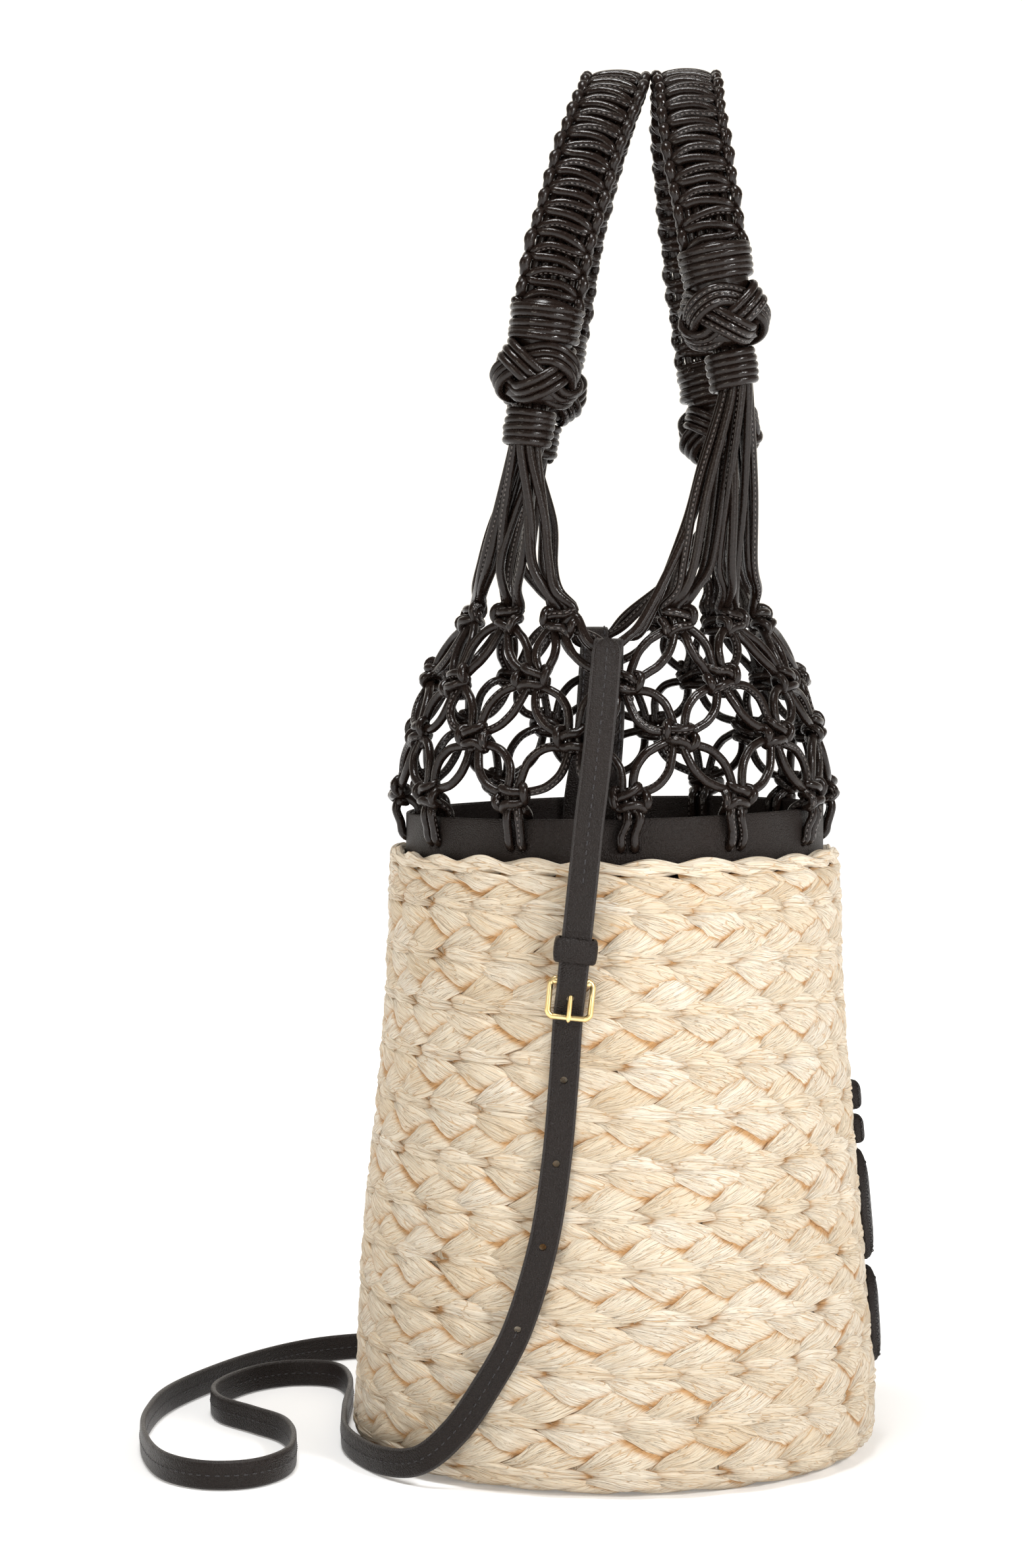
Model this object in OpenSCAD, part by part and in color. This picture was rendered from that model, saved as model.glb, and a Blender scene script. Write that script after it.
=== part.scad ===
// Bucket bag: a sewn raffia bucket with a leather collar, a knotted cord net laced to the collar,
// two knotted cord handles and a long leather shoulder strap with a buckle.
// Millimetres. +Z is up, the origin is the centre of the base on the floor, and -Y is the front.
// The handles' arches and the two strap tabs stand at -X (near) and +X (far).

/* [Bucket] */
// Diameter of the bucket near its base
base_d = 219; // [200:1:240]
// Diameter of the bucket just under its rim
rim_d = 188; // [180:1:196]
// Height of the sewn raffia wall, up to the rim braid
wall_h = 246; // [220:1:260]
// Thickness of the sewn raffia braid
raffia_t = 4.4; // [3:0.1:5]
// Height of one row of braid
row_h = 20.4; // [16:0.2:26]
// Diameter of the twisted braid on the rim
rim_braid_d = 6.6; // [6:0.2:7]

/* [Collar] */
// Outer diameter of the leather collar
collar_d = 176; // [170:1:180]
// Height of the collar band, most of it hidden inside the raffia
collar_h = 40; // [30:1:50]
// Height of the collar's top edge above the floor
collar_top = 269; // [262:1:276]
// Thickness of the collar leather
collar_t = 2; // [1.5:0.1:2.4]
// Thickness of the facing sewn inside the collar
facing_t = 1.2; // [0.8:0.1:1.5]

/* [Net] */
// Diameter of the round leather cord
cord_d = 3.7; // [3:0.1:4.2]
// Number of knots in a row of the net
knots = 12; // [8:4:16]
// Diameter of a net knot
knot_d = 14; // [12:0.5:15]
// Diameter of a doubled cord leg between two knots
leg_d = 5.4; // [4:0.2:6.5]
// Turn of the whole net about the bag's axis, in degrees
net_turn = 2; // [0:0.5:4]

/* [Handles] */
// Width of the knotted handle band
band_w = 28; // [24:0.5:28]
// Thickness of the knotted handle band
band_t = 9.5; // [8:0.5:11]
// Diameter of the big knot at each end of a handle
end_knot_d = 38; // [34:1:40]
// Diameter of the strands gathered inside the end knots
gather_d = 14; // [12:0.5:15]
// Number of turns in each wrapping of cord
wrap_turns = 5; // [3:1:5]

/* [Strap] */
// Width of the shoulder strap
strap_w = 12; // [10:0.5:13]
// Thickness of the shoulder strap
strap_t = 2.4; // [2:0.1:2.6]
// Thickness of the skived leather of the two tabs
tab_t = 1.8; // [1.4:0.1:1.9]
// Diameter of the strap's punched holes
hole_d = 2.5; // [2:0.1:3]

/* [Buckle] */
// Outer width of the buckle frame
frame_w = 19.5; // [18:0.5:22]
// Height of the buckle frame along the strap
frame_h = 16.3; // [15:0.1:17]
// Thickness of the frame's bars
bar_d = 2.3; // [2:0.1:2.3]
// Height of the leather keeper along the strap
keeper_h = 9.8; // [8:0.2:11]

/* [Hidden] */
$fn = 48;
raffia_color = [0.92, 0.83, 0.64];
leather_color = [0.14, 0.13, 0.13];
cord_color = [0.09, 0.08, 0.08];
fabric_color = [0.24, 0.22, 0.20];
board_color = [0.62, 0.54, 0.42];
brass_color = [0.82, 0.65, 0.33];

base_r = base_d / 2;
rim_r = rim_d / 2;
corner_r = 10;
floor_disc_r = base_r - corner_r - 1.5;
gap = 0.05; // between faces that are sewn or glued together
board_t = 2;
lining_t = 0.8;
groove = 1.1; // depth of the groove between two rows of braid
shoulder = 2.4; // height of the rounding beside a groove
rows = floor((wall_h - corner_r) / row_h);
collar_r = collar_d / 2;
facing_r = collar_r - collar_t - gap;
sleeve_bottom = collar_top - collar_h;

// The net's rows of knots, from the collar up: [height, half width along X, half width along Y]
NET = [[277, 90, 90], [302, 86, 85], [324, 82, 77], [348, 76, 64]];
gather_pull = 0.8; // how far the top row is drawn towards its four corners
pitch_angle = 360 / knots;
lacing_r = 9; // from the middle of a lacing loop to the middle of its cord
lacing_z = 266;
lacing_step = 2.6; // half the distance between the two cords of a lacing loop

// Handles: the middle of the big knot at each end, [x, y, z], and its lean about X in degrees
BACK_NEAR = [[-70, 33, 447], 9];
BACK_FAR = [[70, 29, 447], 11];
FRONT_NEAR = [[-70, -42, 470], -9];
FRONT_FAR = [[70, -48, 430], -9];
knot_half = 12; // half the height of the big knot
wrap_pitch = 3.6;
wrap_h = wrap_turns * wrap_pitch;
band_start = knot_half + wrap_h + gap;
core_w = band_w - 11;
core_t = 3.4;
fold_z = 372; // height of the line along X about which a handle folds
fold_y = 57; // distance of that line from the bag's middle
fold_gap = 2; // the net's strands end this far under the fold line, the handle's start this far over it
strand_d = 6.4;
// Middle line of each handle band between its two wrappings
BACK_ROUTE = [
    [-70, 28, 478.4], [-69, 24.5, 496], [-64, 19, 515], [-53, 12.5, 537], [-36, 5, 557],
    [-18, 0.5, 569], [0, -0.5, 572], [18, 0.5, 569], [36, 5, 557], [53, 11.5, 537],
    [64, 16.6, 515], [69, 19.8, 496], [70, 22.9, 478.8]
];
FRONT_ROUTE = [
    [-70, -37, 501], [-68.7, -35, 513], [-62, -32.2, 531], [-49, -30, 550], [-32, -29.3, 564],
    [-14, -29.2, 571], [4, -29.2, 572], [22, -29.4, 567], [40, -30.5, 554], [54, -32.8, 534],
    [64, -36, 509], [69.4, -39.8, 481], [70, -43, 461.2]
];

// The buckle's own frame: the heel bar's middle and the strap's lean about X
HEEL = [-99.5, 19.4, 205];
strap_lean = 6;
heel_r = bar_d / 2;
tab_inner_r = heel_r + 0.1;
tab_outer_r = tab_inner_r + tab_t;
bar_reach = frame_h - bar_d; // from the heel bar to the outer bar
bar_rise = 2.1; // how far the outer bar stands out from the heel bar
frame_tilt = atan(bar_rise / bar_reach);
prong_d = 2;
prong_slot = 2.9;
keeper_z = 13;
keeper_t = 1.5;

// Route of the near tab, from the collar's inside up over the net and down to the buckle
TAB_NEAR_ROUTE = [
    [-82, 9, 240], [-81.6, 9, 256], [-80.2, 8, 270], [-76.5, 5, 292], [-72.6, 3.8, 312], [-71.2, 4.2, 326],
    [-71.4, 4.3, 337], [-75, 4.3, 342.6], [-80.5, 4.4, 344], [-85.6, 4.8, 341.6], [-89.4, 5.6, 333],
    [-92.4, 6.6, 323], [-95.8, 8, 309], [-99, 9.6, 294], [-101.2, 11.2, 281], [-101.55, 12.7, 269],
    [-101.55, 17.4, 224]
];
// Route of the far tab, from the collar's inside up over the net and down outside
TAB_FAR_ROUTE = [
    [80.2, 15, 240], [79.8, 15, 256], [79, 14, 270], [76.6, 10.5, 292], [73, 8, 312], [71.2, 7.2, 326],
    [71.4, 6.6, 337], [75, 6.6, 342.6], [80.5, 6.6, 344], [85.6, 6.8, 341.6], [89.4, 7, 333], [92.4, 7.6, 323],
    [95.8, 8.4, 309], [98.6, 9.4, 294], [99.4, 10, 281], [99.6, 10.4, 262]
];
// Route of the shoulder strap, from its tip by the near tab's fold, through the keeper and the buckle, down
// to the floor, where it lies on its edge in loose curves, and up the far side to the far tab
strap_floor = 6.3; // height of the strap's middle where it stands on its edge
STRAP_ROUTE = [
    [-91.3, 5.6, 334.6], [-94.9, 6.6, 322.6], [-98.1, 8, 309], [-101.3, 9.6, 294.4], [-103.6, 11.2, 281],
    [-104, 12.7, 269], [-104, 15.7, 240], [-104, 17.9, 219], [-104.1, 19, 209], [-104.1, 19.5, 204.2],
    [-101.8, 20.1, 199], [-98.7, 20.7, 193.4], [-97.4, 21.3, 186], [-98.3, 22.6, 166],
    [-101.6, 25.6, 133], [-103.4, 31, 100],
    [-103.2, 41, 67], [-100.4, 53, 44], [-94, 66, 24], [-87, 81, 10.5], [-66, 98, strap_floor],
    [-30, 112, strap_floor], [13, 115, strap_floor], [71, 115, strap_floor], [103, 123, strap_floor],
    [108, 143, strap_floor], [92, 162, strap_floor], [60, 174, strap_floor], [32, 170, strap_floor],
    [10, 154, strap_floor], [-10, 140, strap_floor], [-38, 134, strap_floor], [-70, 135, strap_floor],
    [-91, 148, strap_floor], [-93, 168, strap_floor], [-74, 186, strap_floor], [-32, 197, strap_floor],
    [13, 199, strap_floor], [60, 192, strap_floor], [120, 166, strap_floor], [158, 137, strap_floor],
    [173, 104, strap_floor], [169, 70, strap_floor], [152, 40, strap_floor], [133, 22, 11],
    [118.5, 14, 26], [112.6, 11, 48], [109.6, 10, 76], [105.8, 10, 120], [101.4, 10, 165],
    [99.8, 10, 210], [100.6, 10.2, 240], [102.1, 10.4, 263], [101.9, 10, 281]
];

HOLE_POINTS = [13, 14, 15, 16]; // the route's points where the strap has its free holes

// Leather pieces sewn on the front: [sideways, height, width, height of the piece]
patch_t = 5;
PATCHES = [[0, 147.5, 11.5, 13], [0, 133, 11.5, 13], [0, 101, 30, 48], [0, 54, 26, 42]];

// ---- Curves and swept shapes ----

function unit(v) = v / norm(v);

// Point at t, 0 to 1, of the smooth curve between points i and i + 1 of a route
function curve_at(p, i, t) =
    let (a = p[max(i - 1, 0)], b = p[i], c = p[i + 1], d = p[min(i + 2, len(p) - 1)])
    0.5 * (2 * b + (c - a) * t + (2 * a - 5 * b + 4 * c - d) * t * t + (3 * b - a - 3 * c + d) * t * t * t);

function smooth(p, steps) = [
    for (i = [0 : len(p) - 2]) for (s = [0 : steps - 1]) curve_at(p, i, s / steps),
    p[len(p) - 1]
];

function tangent(p, i) = unit(p[min(i + 1, len(p) - 1)] - p[max(i - 1, 0)]);

// Ring round point i of a route, square to it, with its width along the direction across
function ring(p, i, section, across) =
    let (t = tangent(p, i), side = unit(across - (across * t) * t), face = cross(side, t))
    [for (c = section) p[i] + c[0] * side + c[1] * face];

// The handle bands and the tabs lie with their width along Y
function flat_rings(p, section) = [for (i = [0 : len(p) - 1]) ring(p, i, section, [0, 1, 0])];

// The strap's width turns from along Y on the bag's side to upright on the floor
function strap_rings(p, section) = [
    for (i = [0 : len(p) - 1])
        let (t = tangent(p, i), w = min(1, max(0, (p[i][2] - 10) / 50)))
        ring(p, i, section, w * ([0, 1, 0] - t[1] * t) + (1 - w) * ([0, 0, 1] - t[2] * t))
];

function strap_section(w, t) =
    let (a = w / 2, b = t / 2, c = t / 5)
    [[a, b - c], [a - c, b], [c - a, b], [-a, b - c], [-a, c - b], [c - a, -b], [a - c, -b], [a, c - b]];

function quads(a, b, n) = [
    for (j = [0 : n - 1]) let (k = (j + 1) % n)
        each [[a + j, b + k, b + j], [a + j, a + k, b + k]]
];

// Solid skin over a row of rings with the same number of points
module swept(rings) {
    n = len(rings[0]);
    last = len(rings) - 1;
    polyhedron(
        points = [for (r = rings) each r],
        faces = concat(
            [[for (j = [n - 1 : -1 : 0]) j]],
            [for (i = [0 : last - 1]) each quads(i * n, (i + 1) * n, n)],
            [[for (j = [0 : n - 1]) last * n + j]]
        ),
        convexity = 8
    );
}

// The same with an inner skin: each ring is the outer points followed by as many inner points
module swept_sleeve(outer, inner) {
    n = len(outer[0]);
    last = len(outer) - 1;
    half = len(outer) * n;
    polyhedron(
        points = concat([for (r = outer) each r], [for (r = inner) each r]),
        faces = concat(
            [for (i = [0 : last - 1]) each quads(i * n, (i + 1) * n, n)],
            [for (i = [0 : last - 1]) each quads(half + (i + 1) * n, half + i * n, n)],
            quads(half, 0, n),
            quads(last * n, half + last * n, n)
        ),
        convexity = 8
    );
}

module straight(a, b, d) {
    v = b - a;
    translate(a) rotate([0, acos(v[2] / norm(v)), atan2(v[1], v[0])]) cylinder(d = d, h = norm(v));
}

// ---- Bucket ----

function flare(z) = let (s = 1 - z / wall_h) s * s * (3 - 2 * s);
function wall_r(z) = rim_r + (base_r - rim_r) * flare(z);
function row_base(i) = corner_r + i * row_h;
function sleeve_r(z) = min(wall_r(z) - raffia_t, z > sleeve_bottom - 8 ? collar_r + 0.3 : base_r);

// The wall between two heights, each of which lies in the groove between two rows
module raffia_wall(low, high) {
    outer = [
        for (a = [0 : 15 : 90]) [base_r - corner_r + corner_r * sin(a), corner_r - corner_r * cos(a)],
        for (i = [1 : rows]) each [
            [wall_r(row_base(i)), row_base(i) - shoulder],
            [wall_r(row_base(i)) - groove, row_base(i)],
            [wall_r(row_base(i)), row_base(i) + shoulder]
        ],
        [rim_r, wall_h]
    ];
    inner = [
        [collar_r + 0.3, wall_h],
        for (z = [wall_h - 24 : -28 : 20]) [sleeve_r(z), z],
        [base_r - raffia_t, 14],
        [base_r - raffia_t - 2, 7.5],
        [floor_disc_r, raffia_t]
    ];
    color(raffia_color) rotate_extrude($fn = 120) intersection() {
        polygon(concat([[floor_disc_r, 0]], outer, inner));
        translate([0, low]) square([base_d, high - low]);
    }
}

module raffia_base() {
    color(raffia_color) cylinder(r = floor_disc_r - gap, h = raffia_t, $fn = 120);
}

module rim_braid() {
    r = rim_braid_d / 2;
    color(raffia_color) rotate_extrude($fn = 120) translate([collar_r + r + 0.2, wall_h + r + gap]) circle(r);
}

module base_board() {
    color(board_color) translate([0, 0, raffia_t + gap]) cylinder(r = floor_disc_r - 1, h = board_t, $fn = 120);
}

module lining_base() {
    color(fabric_color) translate([0, 0, raffia_t + board_t + 2 * gap])
        cylinder(r = floor_disc_r, h = lining_t, $fn = 120);
}

module lining_wall() {
    bottom = raffia_t + board_t + lining_t + 3 * gap;
    top = sleeve_bottom + 8;
    hem_r = facing_r - facing_t - gap;
    outer = [
        [floor_disc_r, bottom], [base_r - raffia_t - 1.4, 15],
        for (z = [24 : 28 : sleeve_bottom - 24]) [wall_r(z) - raffia_t - 1.6, z],
        [hem_r, sleeve_bottom - 4], [hem_r, top]
    ];
    inner = [for (i = [len(outer) - 1 : -1 : 0]) outer[i] - [lining_t, 0]];
    color(fabric_color) rotate_extrude($fn = 120) polygon(concat(outer, inner));
}

// ---- Collar ----

// Two holes side by side under each knot of the first row
module lacing_holes() {
    for (k = [0 : knots - 1], side = [-1, 1])
        rotate([0, 0, net_turn + k * pitch_angle])
            translate([-collar_r - 5, side * lacing_step, lacing_z - lacing_r])
                rotate([0, 90, 0]) cylinder(d = cord_d + 0.9, h = 16, $fn = 24);
}

module collar_band() {
    color(leather_color) difference() {
        translate([0, 0, sleeve_bottom]) cylinder(r = collar_r, h = collar_h, $fn = 120);
        translate([0, 0, sleeve_bottom - 1]) cylinder(r = collar_r - collar_t, h = collar_h + 2, $fn = 120);
        lacing_holes();
    }
}

module collar_facing() {
    color(leather_color) difference() {
        translate([0, 0, sleeve_bottom]) cylinder(r = facing_r, h = collar_h, $fn = 120);
        translate([0, 0, sleeve_bottom - 1]) cylinder(r = facing_r - facing_t, h = collar_h + 2, $fn = 120);
        lacing_holes();
    }
}

// ---- Net ----

// Angle of knot k of a row, counted from the near side. Even rows sit half a pitch round, and the top row is
// drawn in threes towards its four corners.
function knot_angle(row, k) =
    let (a = (k + (row % 2 == 0 ? 0 : 0.5)) * pitch_angle, corner = (floor(a / 90) + 0.5) * 90)
    row < len(NET) - 1 ? net_turn + a : corner + gather_pull * (a - corner);

function knot_at(row, k) =
    let (a = knot_angle(row, k), level = NET[row])
    [-level[1] * cos(a), -level[2] * sin(a), level[0]];

// Doubled loops that pass through the collar's holes and over its edge into the first row of knots
module lacing_loops() {
    middle_r = collar_r - collar_t / 2 - 0.6;
    color(cord_color) for (k = [0 : knots - 1]) difference() {
        rotate([0, 0, net_turn + k * pitch_angle]) for (side = [-1, 1])
            translate([-middle_r, side * lacing_step, lacing_z]) rotate([90, 0, 0])
                rotate_extrude($fn = 32) translate([lacing_r, 0]) circle(d = cord_d, $fn = 24);
        translate(knot_at(0, k)) sphere(d = knot_d, $fn = 32);
    }
}

module net_knots(row) {
    color(cord_color) for (k = [0 : knots - 1]) translate(knot_at(row, k)) sphere(d = knot_d, $fn = 32);
}

// Straight leg between two knots, its flat ends against the knots
module leg(low, high, d, low_r, high_r) {
    way = unit(high - low);
    straight(low + (low_r + gap) * way, high - (high_r + gap) * way, d);
}

// Each knot sends one doubled leg up to each of the two knots above it
module net_legs(row) {
    color(cord_color) for (k = [0 : knots - 1], up = [0, 1])
        leg(
            knot_at(row, k),
            knot_at(row + 1, (k - (row % 2 == 0 ? up : -up) + knots) % knots),
            leg_d, knot_d / 2, knot_d / 2
        );
}

// ---- Handle ends ----

// The point of the fold plane where strand i, 0 to 2, of a bundle crosses it
function crossing(end, i) =
    let (p = end[0], sx = sign(p[0]), sy = sign(p[1]))
    [sx * [70, 61, 50][i], sy * [33, 44, 52.5][i], fold_z];

function end_point(end, h) = end[0] + h * [0, -sin(end[1]), cos(end[1])];

module at_end(end) {
    translate(end[0]) rotate([end[1], 0, 0]) children();
}

// Strands of the top row of the net, up to the line where a handle folds
module net_gathers() {
    color(cord_color) for (end = [BACK_NEAR, BACK_FAR, FRONT_NEAR, FRONT_FAR], i = [0 : 2]) {
        top = crossing(end, i) - [0, 0, fold_gap];
        corner = sign(end[0][0]) < 0 ? (end[0][1] < 0 ? 0 : 3) : (end[0][1] < 0 ? 1 : 2);
        order = corner % 2 == 0 ? i : 2 - i;
        leg(knot_at(len(NET) - 1, corner * 3 + order), top, strand_d, knot_d / 2, 0);
    }
}

// Three groups of strands that meet under the whipping and run on through the knot into the band
module bundle(end) {
    bottom = -knot_half - wrap_h;
    color(cord_color) {
        for (i = [0 : 2])
            straight(crossing(end, i) + [0, 0, fold_gap], end_point(end, bottom - 2) + [0, 0, 0.4 * i], strand_d);
        at_end(end) translate([0, 0, bottom - 4]) cylinder(d = gather_d, h = 2 * (knot_half + wrap_h) + 4);
    }
}

// Turns of cord wound round the strands
module turns(inner_r, outer_r) {
    wire_r = wrap_pitch / 2 + 0.25;
    color(cord_color) rotate_extrude($fn = 64) intersection() {
        union() {
            for (i = [0 : wrap_turns - 1])
                translate([outer_r - wire_r, (i + 0.5) * wrap_pitch]) circle(wire_r, $fn = 24);
            square([outer_r - wire_r, wrap_h]);
        }
        translate([inner_r, 0]) square([outer_r, wrap_h]);
    }
}

module whipping(end) {
    at_end(end) translate([0, 0, -knot_half - wrap_h - gap]) turns(gather_d / 2 + gap, 10.6);
}

module wrapping(end) {
    at_end(end) translate([0, 0, knot_half + gap]) turns(gather_d / 2 + gap, 15);
}

module end_knot(end) {
    hole_r = gather_d / 2 + gap;
    color(cord_color) at_end(end) rotate_extrude($fn = 64) intersection() {
        circle(d = end_knot_d, $fn = 64);
        translate([hole_r, -knot_half]) square([end_knot_d, 2 * knot_half]);
    }
}

// ---- Handles ----

module handle_band(route) {
    p = smooth(route, 4);
    color(cord_color) swept_sleeve(
        flat_rings(p, strap_section(band_w, band_t)),
        flat_rings(p, strap_section(core_w + 0.5, core_t + 0.5))
    );
}

module handle_core(route) {
    color(cord_color) swept(flat_rings(smooth(route, 4), strap_section(core_w, core_t)));
}

// ---- Strap, tabs and buckle ----

module at_buckle() {
    translate(HEEL) rotate([strap_lean, 0, 0]) children();
}

module tab(route) {
    color(leather_color) swept(flat_rings(smooth(route, 3), strap_section(strap_w, tab_t)));
}

// The near tab ends in a turn round the buckle's heel bar, sewn back on itself
module strap_tab_near() {
    doubled = 21; // height of the doubled stretch over the heel bar
    open_h = 4; // height of the gap left between the two layers by the turn
    w = strap_w + 0.2;
    color(leather_color) union() {
        tab(TAB_NEAR_ROUTE);
        at_buckle() difference() {
            union() {
                rotate([90, 0, 0]) translate([0, 0, -w / 2]) cylinder(r = tab_outer_r, h = w);
                translate([-tab_outer_r, -w / 2, 0]) cube([2 * tab_outer_r, w, doubled]);
            }
            rotate([90, 0, 0]) translate([0, 0, -w]) cylinder(r = tab_inner_r, h = 2 * w);
            translate([-tab_inner_r, -w, 0]) cube([2 * tab_inner_r, 2 * w, open_h]);
            translate([-5, -prong_slot / 2, -5]) cube([10, prong_slot, 5 + open_h - 0.5]);
        }
    }
}

module strap_tab_far() {
    tab(TAB_FAR_ROUTE);
}

module shoulder_strap() {
    color(leather_color) difference() {
        swept(strap_rings(STRAP_ROUTE, strap_section(strap_w, strap_t)));
        at_buckle() translate([-9, -prong_slot / 2, -9.5]) cube([14, prong_slot, 12]);
        for (i = HOLE_POINTS) translate(STRAP_ROUTE[i] - [6, 0, 0]) rotate([0, 90, 0])
            cylinder(d = hole_d, h = 12, $fn = 24);
    }
}

module buckle_frame() {
    corner = 3;
    inner_w = frame_w - 2 * bar_d;
    color(brass_color) at_buckle() rotate([0, frame_tilt, 0]) {
        difference() {
            rotate([90, 0, 90]) translate([0, 0, -heel_r]) linear_extrude(bar_d) difference() {
                union() {
                    translate([-frame_w / 2, corner - bar_reach - heel_r]) square([frame_w, frame_h - corner]);
                    translate([corner - frame_w / 2, -bar_reach - heel_r]) square([frame_w - 2 * corner, corner + 1]);
                    for (side = [-1, 1])
                        translate([side * (frame_w / 2 - corner), corner - bar_reach - heel_r]) circle(corner);
                }
                translate([-inner_w / 2, heel_r - bar_reach]) square([inner_w, frame_h]);
            }
        }
        rotate([90, 0, 0]) translate([0, 0, -inner_w / 2 - 1]) cylinder(r = heel_r, h = inner_w + 2);
    }
}

module buckle_prong() {
    eye_r = heel_r + 1.1;
    rest = bar_rise + heel_r + prong_d / 2 + 0.35; // distance the shaft stands out where it meets the outer bar
    reach = bar_reach + 1;
    start = 1.7;
    color(brass_color) at_buckle() difference() {
        union() {
            rotate([90, 0, 0]) translate([0, 0, -prong_d / 2 - 0.15]) cylinder(r = eye_r, h = prong_d + 0.3);
            straight([-start, 0, 0], [-rest, 0, -reach], prong_d);
        }
        rotate([90, 0, 0]) translate([0, 0, -5]) cylinder(r = heel_r + 0.05, h = 10);
    }
}

module strap_keeper() {
    back = tab_outer_r + 0.3;
    front = HEEL[0] - STRAP_ROUTE[6][0] + strap_t / 2 + 0.3;
    inner_w = strap_w + 0.6;
    color(leather_color) at_buckle() translate([0, 0, keeper_z - keeper_h / 2]) difference() {
        translate([-front - keeper_t, -inner_w / 2 - keeper_t, 0])
            cube([front + back + 2 * keeper_t, inner_w + 2 * keeper_t, keeper_h]);
        translate([-front, -inner_w / 2, -1]) cube([front + back, inner_w, keeper_h + 2]);
    }
}

// ---- Leather pieces on the front ----

// A shell on the bucket's wall, cut to a leaf with round ends or to a disc
module patch(i) {
    place = PATCHES[i];
    w = place[2];
    h = place[3];
    arc_r = (w * w + h * h) / (4 * w);
    low = place[1] - h / 2;
    high = place[1] + h / 2;
    color(leather_color) intersection() {
        rotate_extrude($fn = 120) polygon([
            [wall_r(low) + 0.4, low - 1], [wall_r(low) + patch_t, low - 1],
            [wall_r(place[1]) + patch_t, place[1]],
            [wall_r(high) + patch_t, high + 1], [wall_r(high) + 0.4, high + 1],
            [wall_r(place[1]) + 0.4, place[1]]
        ]);
        translate([place[0], 0, place[1]]) rotate([90, 0, 0]) linear_extrude(2 * base_r) intersection() {
            translate([arc_r - w / 2, 0]) circle(arc_r, $fn = 96);
            translate([w / 2 - arc_r, 0]) circle(arc_r, $fn = 96);
        }
    }
}

raffia_wall(0, row_base(6));  // raffia_wall_lower
raffia_wall(row_base(6) + gap, wall_h);  // raffia_wall_upper
raffia_base();
rim_braid();
base_board();
lining_wall();
lining_base();
collar_band();
collar_facing();
lacing_loops();
net_knots(0);  // net_knots_row_1
net_knots(1);  // net_knots_row_2
net_knots(2);  // net_knots_row_3
net_knots(3);  // net_knots_row_4
net_legs(0);  // net_legs_row_1
net_legs(1);  // net_legs_row_2
net_legs(2);  // net_legs_row_3
net_gathers();
bundle(BACK_NEAR);  // back_near_bundle
whipping(BACK_NEAR);  // back_near_whipping
end_knot(BACK_NEAR);  // back_near_knot
wrapping(BACK_NEAR);  // back_near_wrapping
bundle(BACK_FAR);  // back_far_bundle
whipping(BACK_FAR);  // back_far_whipping
end_knot(BACK_FAR);  // back_far_knot
wrapping(BACK_FAR);  // back_far_wrapping
bundle(FRONT_NEAR);  // front_near_bundle
whipping(FRONT_NEAR);  // front_near_whipping
end_knot(FRONT_NEAR);  // front_near_knot
wrapping(FRONT_NEAR);  // front_near_wrapping
bundle(FRONT_FAR);  // front_far_bundle
whipping(FRONT_FAR);  // front_far_whipping
end_knot(FRONT_FAR);  // front_far_knot
wrapping(FRONT_FAR);  // front_far_wrapping
handle_band(BACK_ROUTE);  // back_handle_band
handle_core(BACK_ROUTE);  // back_handle_core
handle_band(FRONT_ROUTE);  // front_handle_band
handle_core(FRONT_ROUTE);  // front_handle_core
strap_tab_near();
strap_tab_far();
shoulder_strap();
buckle_frame();
buckle_prong();
strap_keeper();
patch(0);  // patch_dot_upper
patch(1);  // patch_dot_lower
patch(2);  // patch_leaf_large
patch(3);  // patch_leaf_small
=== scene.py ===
"""Bucket bag of sewn raffia with a laced net of leather cord, knotted handles and a buckled shoulder strap."""
import math

import bpy
import numpy as np
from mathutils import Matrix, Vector


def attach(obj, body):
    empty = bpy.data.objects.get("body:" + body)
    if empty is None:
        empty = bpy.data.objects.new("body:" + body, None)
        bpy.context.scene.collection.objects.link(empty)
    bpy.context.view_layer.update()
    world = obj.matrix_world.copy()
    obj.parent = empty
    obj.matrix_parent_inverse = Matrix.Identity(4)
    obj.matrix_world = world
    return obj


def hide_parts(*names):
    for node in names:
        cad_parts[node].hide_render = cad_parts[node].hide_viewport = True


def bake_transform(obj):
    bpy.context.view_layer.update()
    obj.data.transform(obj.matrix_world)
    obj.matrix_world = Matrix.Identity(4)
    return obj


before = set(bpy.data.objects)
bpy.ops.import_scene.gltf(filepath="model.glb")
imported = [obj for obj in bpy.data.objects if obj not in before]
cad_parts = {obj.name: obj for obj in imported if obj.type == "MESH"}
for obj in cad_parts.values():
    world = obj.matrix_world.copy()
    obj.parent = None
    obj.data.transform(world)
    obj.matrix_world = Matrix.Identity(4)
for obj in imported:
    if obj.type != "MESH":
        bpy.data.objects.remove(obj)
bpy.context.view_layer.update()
MM = 0.001
rng = np.random.default_rng(11)
scene = bpy.context.scene
scene.view_settings.view_transform = "Standard"


def vec(*xyz):
    return np.array(xyz, float)


# ---- Camera ----

cam_data = bpy.data.cameras.new("camera")
cam_data.lens = 87.11
camera = bpy.data.objects.new("camera", cam_data)
camera.location = (-1.6, 0.0436, 0.356)
camera.rotation_euler = (math.pi / 2 - 0.048, 0, -math.pi / 2)
scene.collection.objects.link(camera)
scene.camera = camera

# ---- Curves ----


def unit(v):
    v = np.asarray(v, float)
    return v / np.maximum(np.linalg.norm(v, axis=-1, keepdims=True), 1e-9)


def lengths(path):
    return np.concatenate([[0], np.cumsum(np.linalg.norm(np.diff(path, axis=0), axis=1))])


def sample(at, way, rows):
    """Rows read off at distances along their way."""
    return np.stack([np.interp(at, way, column) for column in np.asarray(rows).T], -1)


def circle(count):
    return np.arange(count) / count * 2 * math.pi


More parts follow.
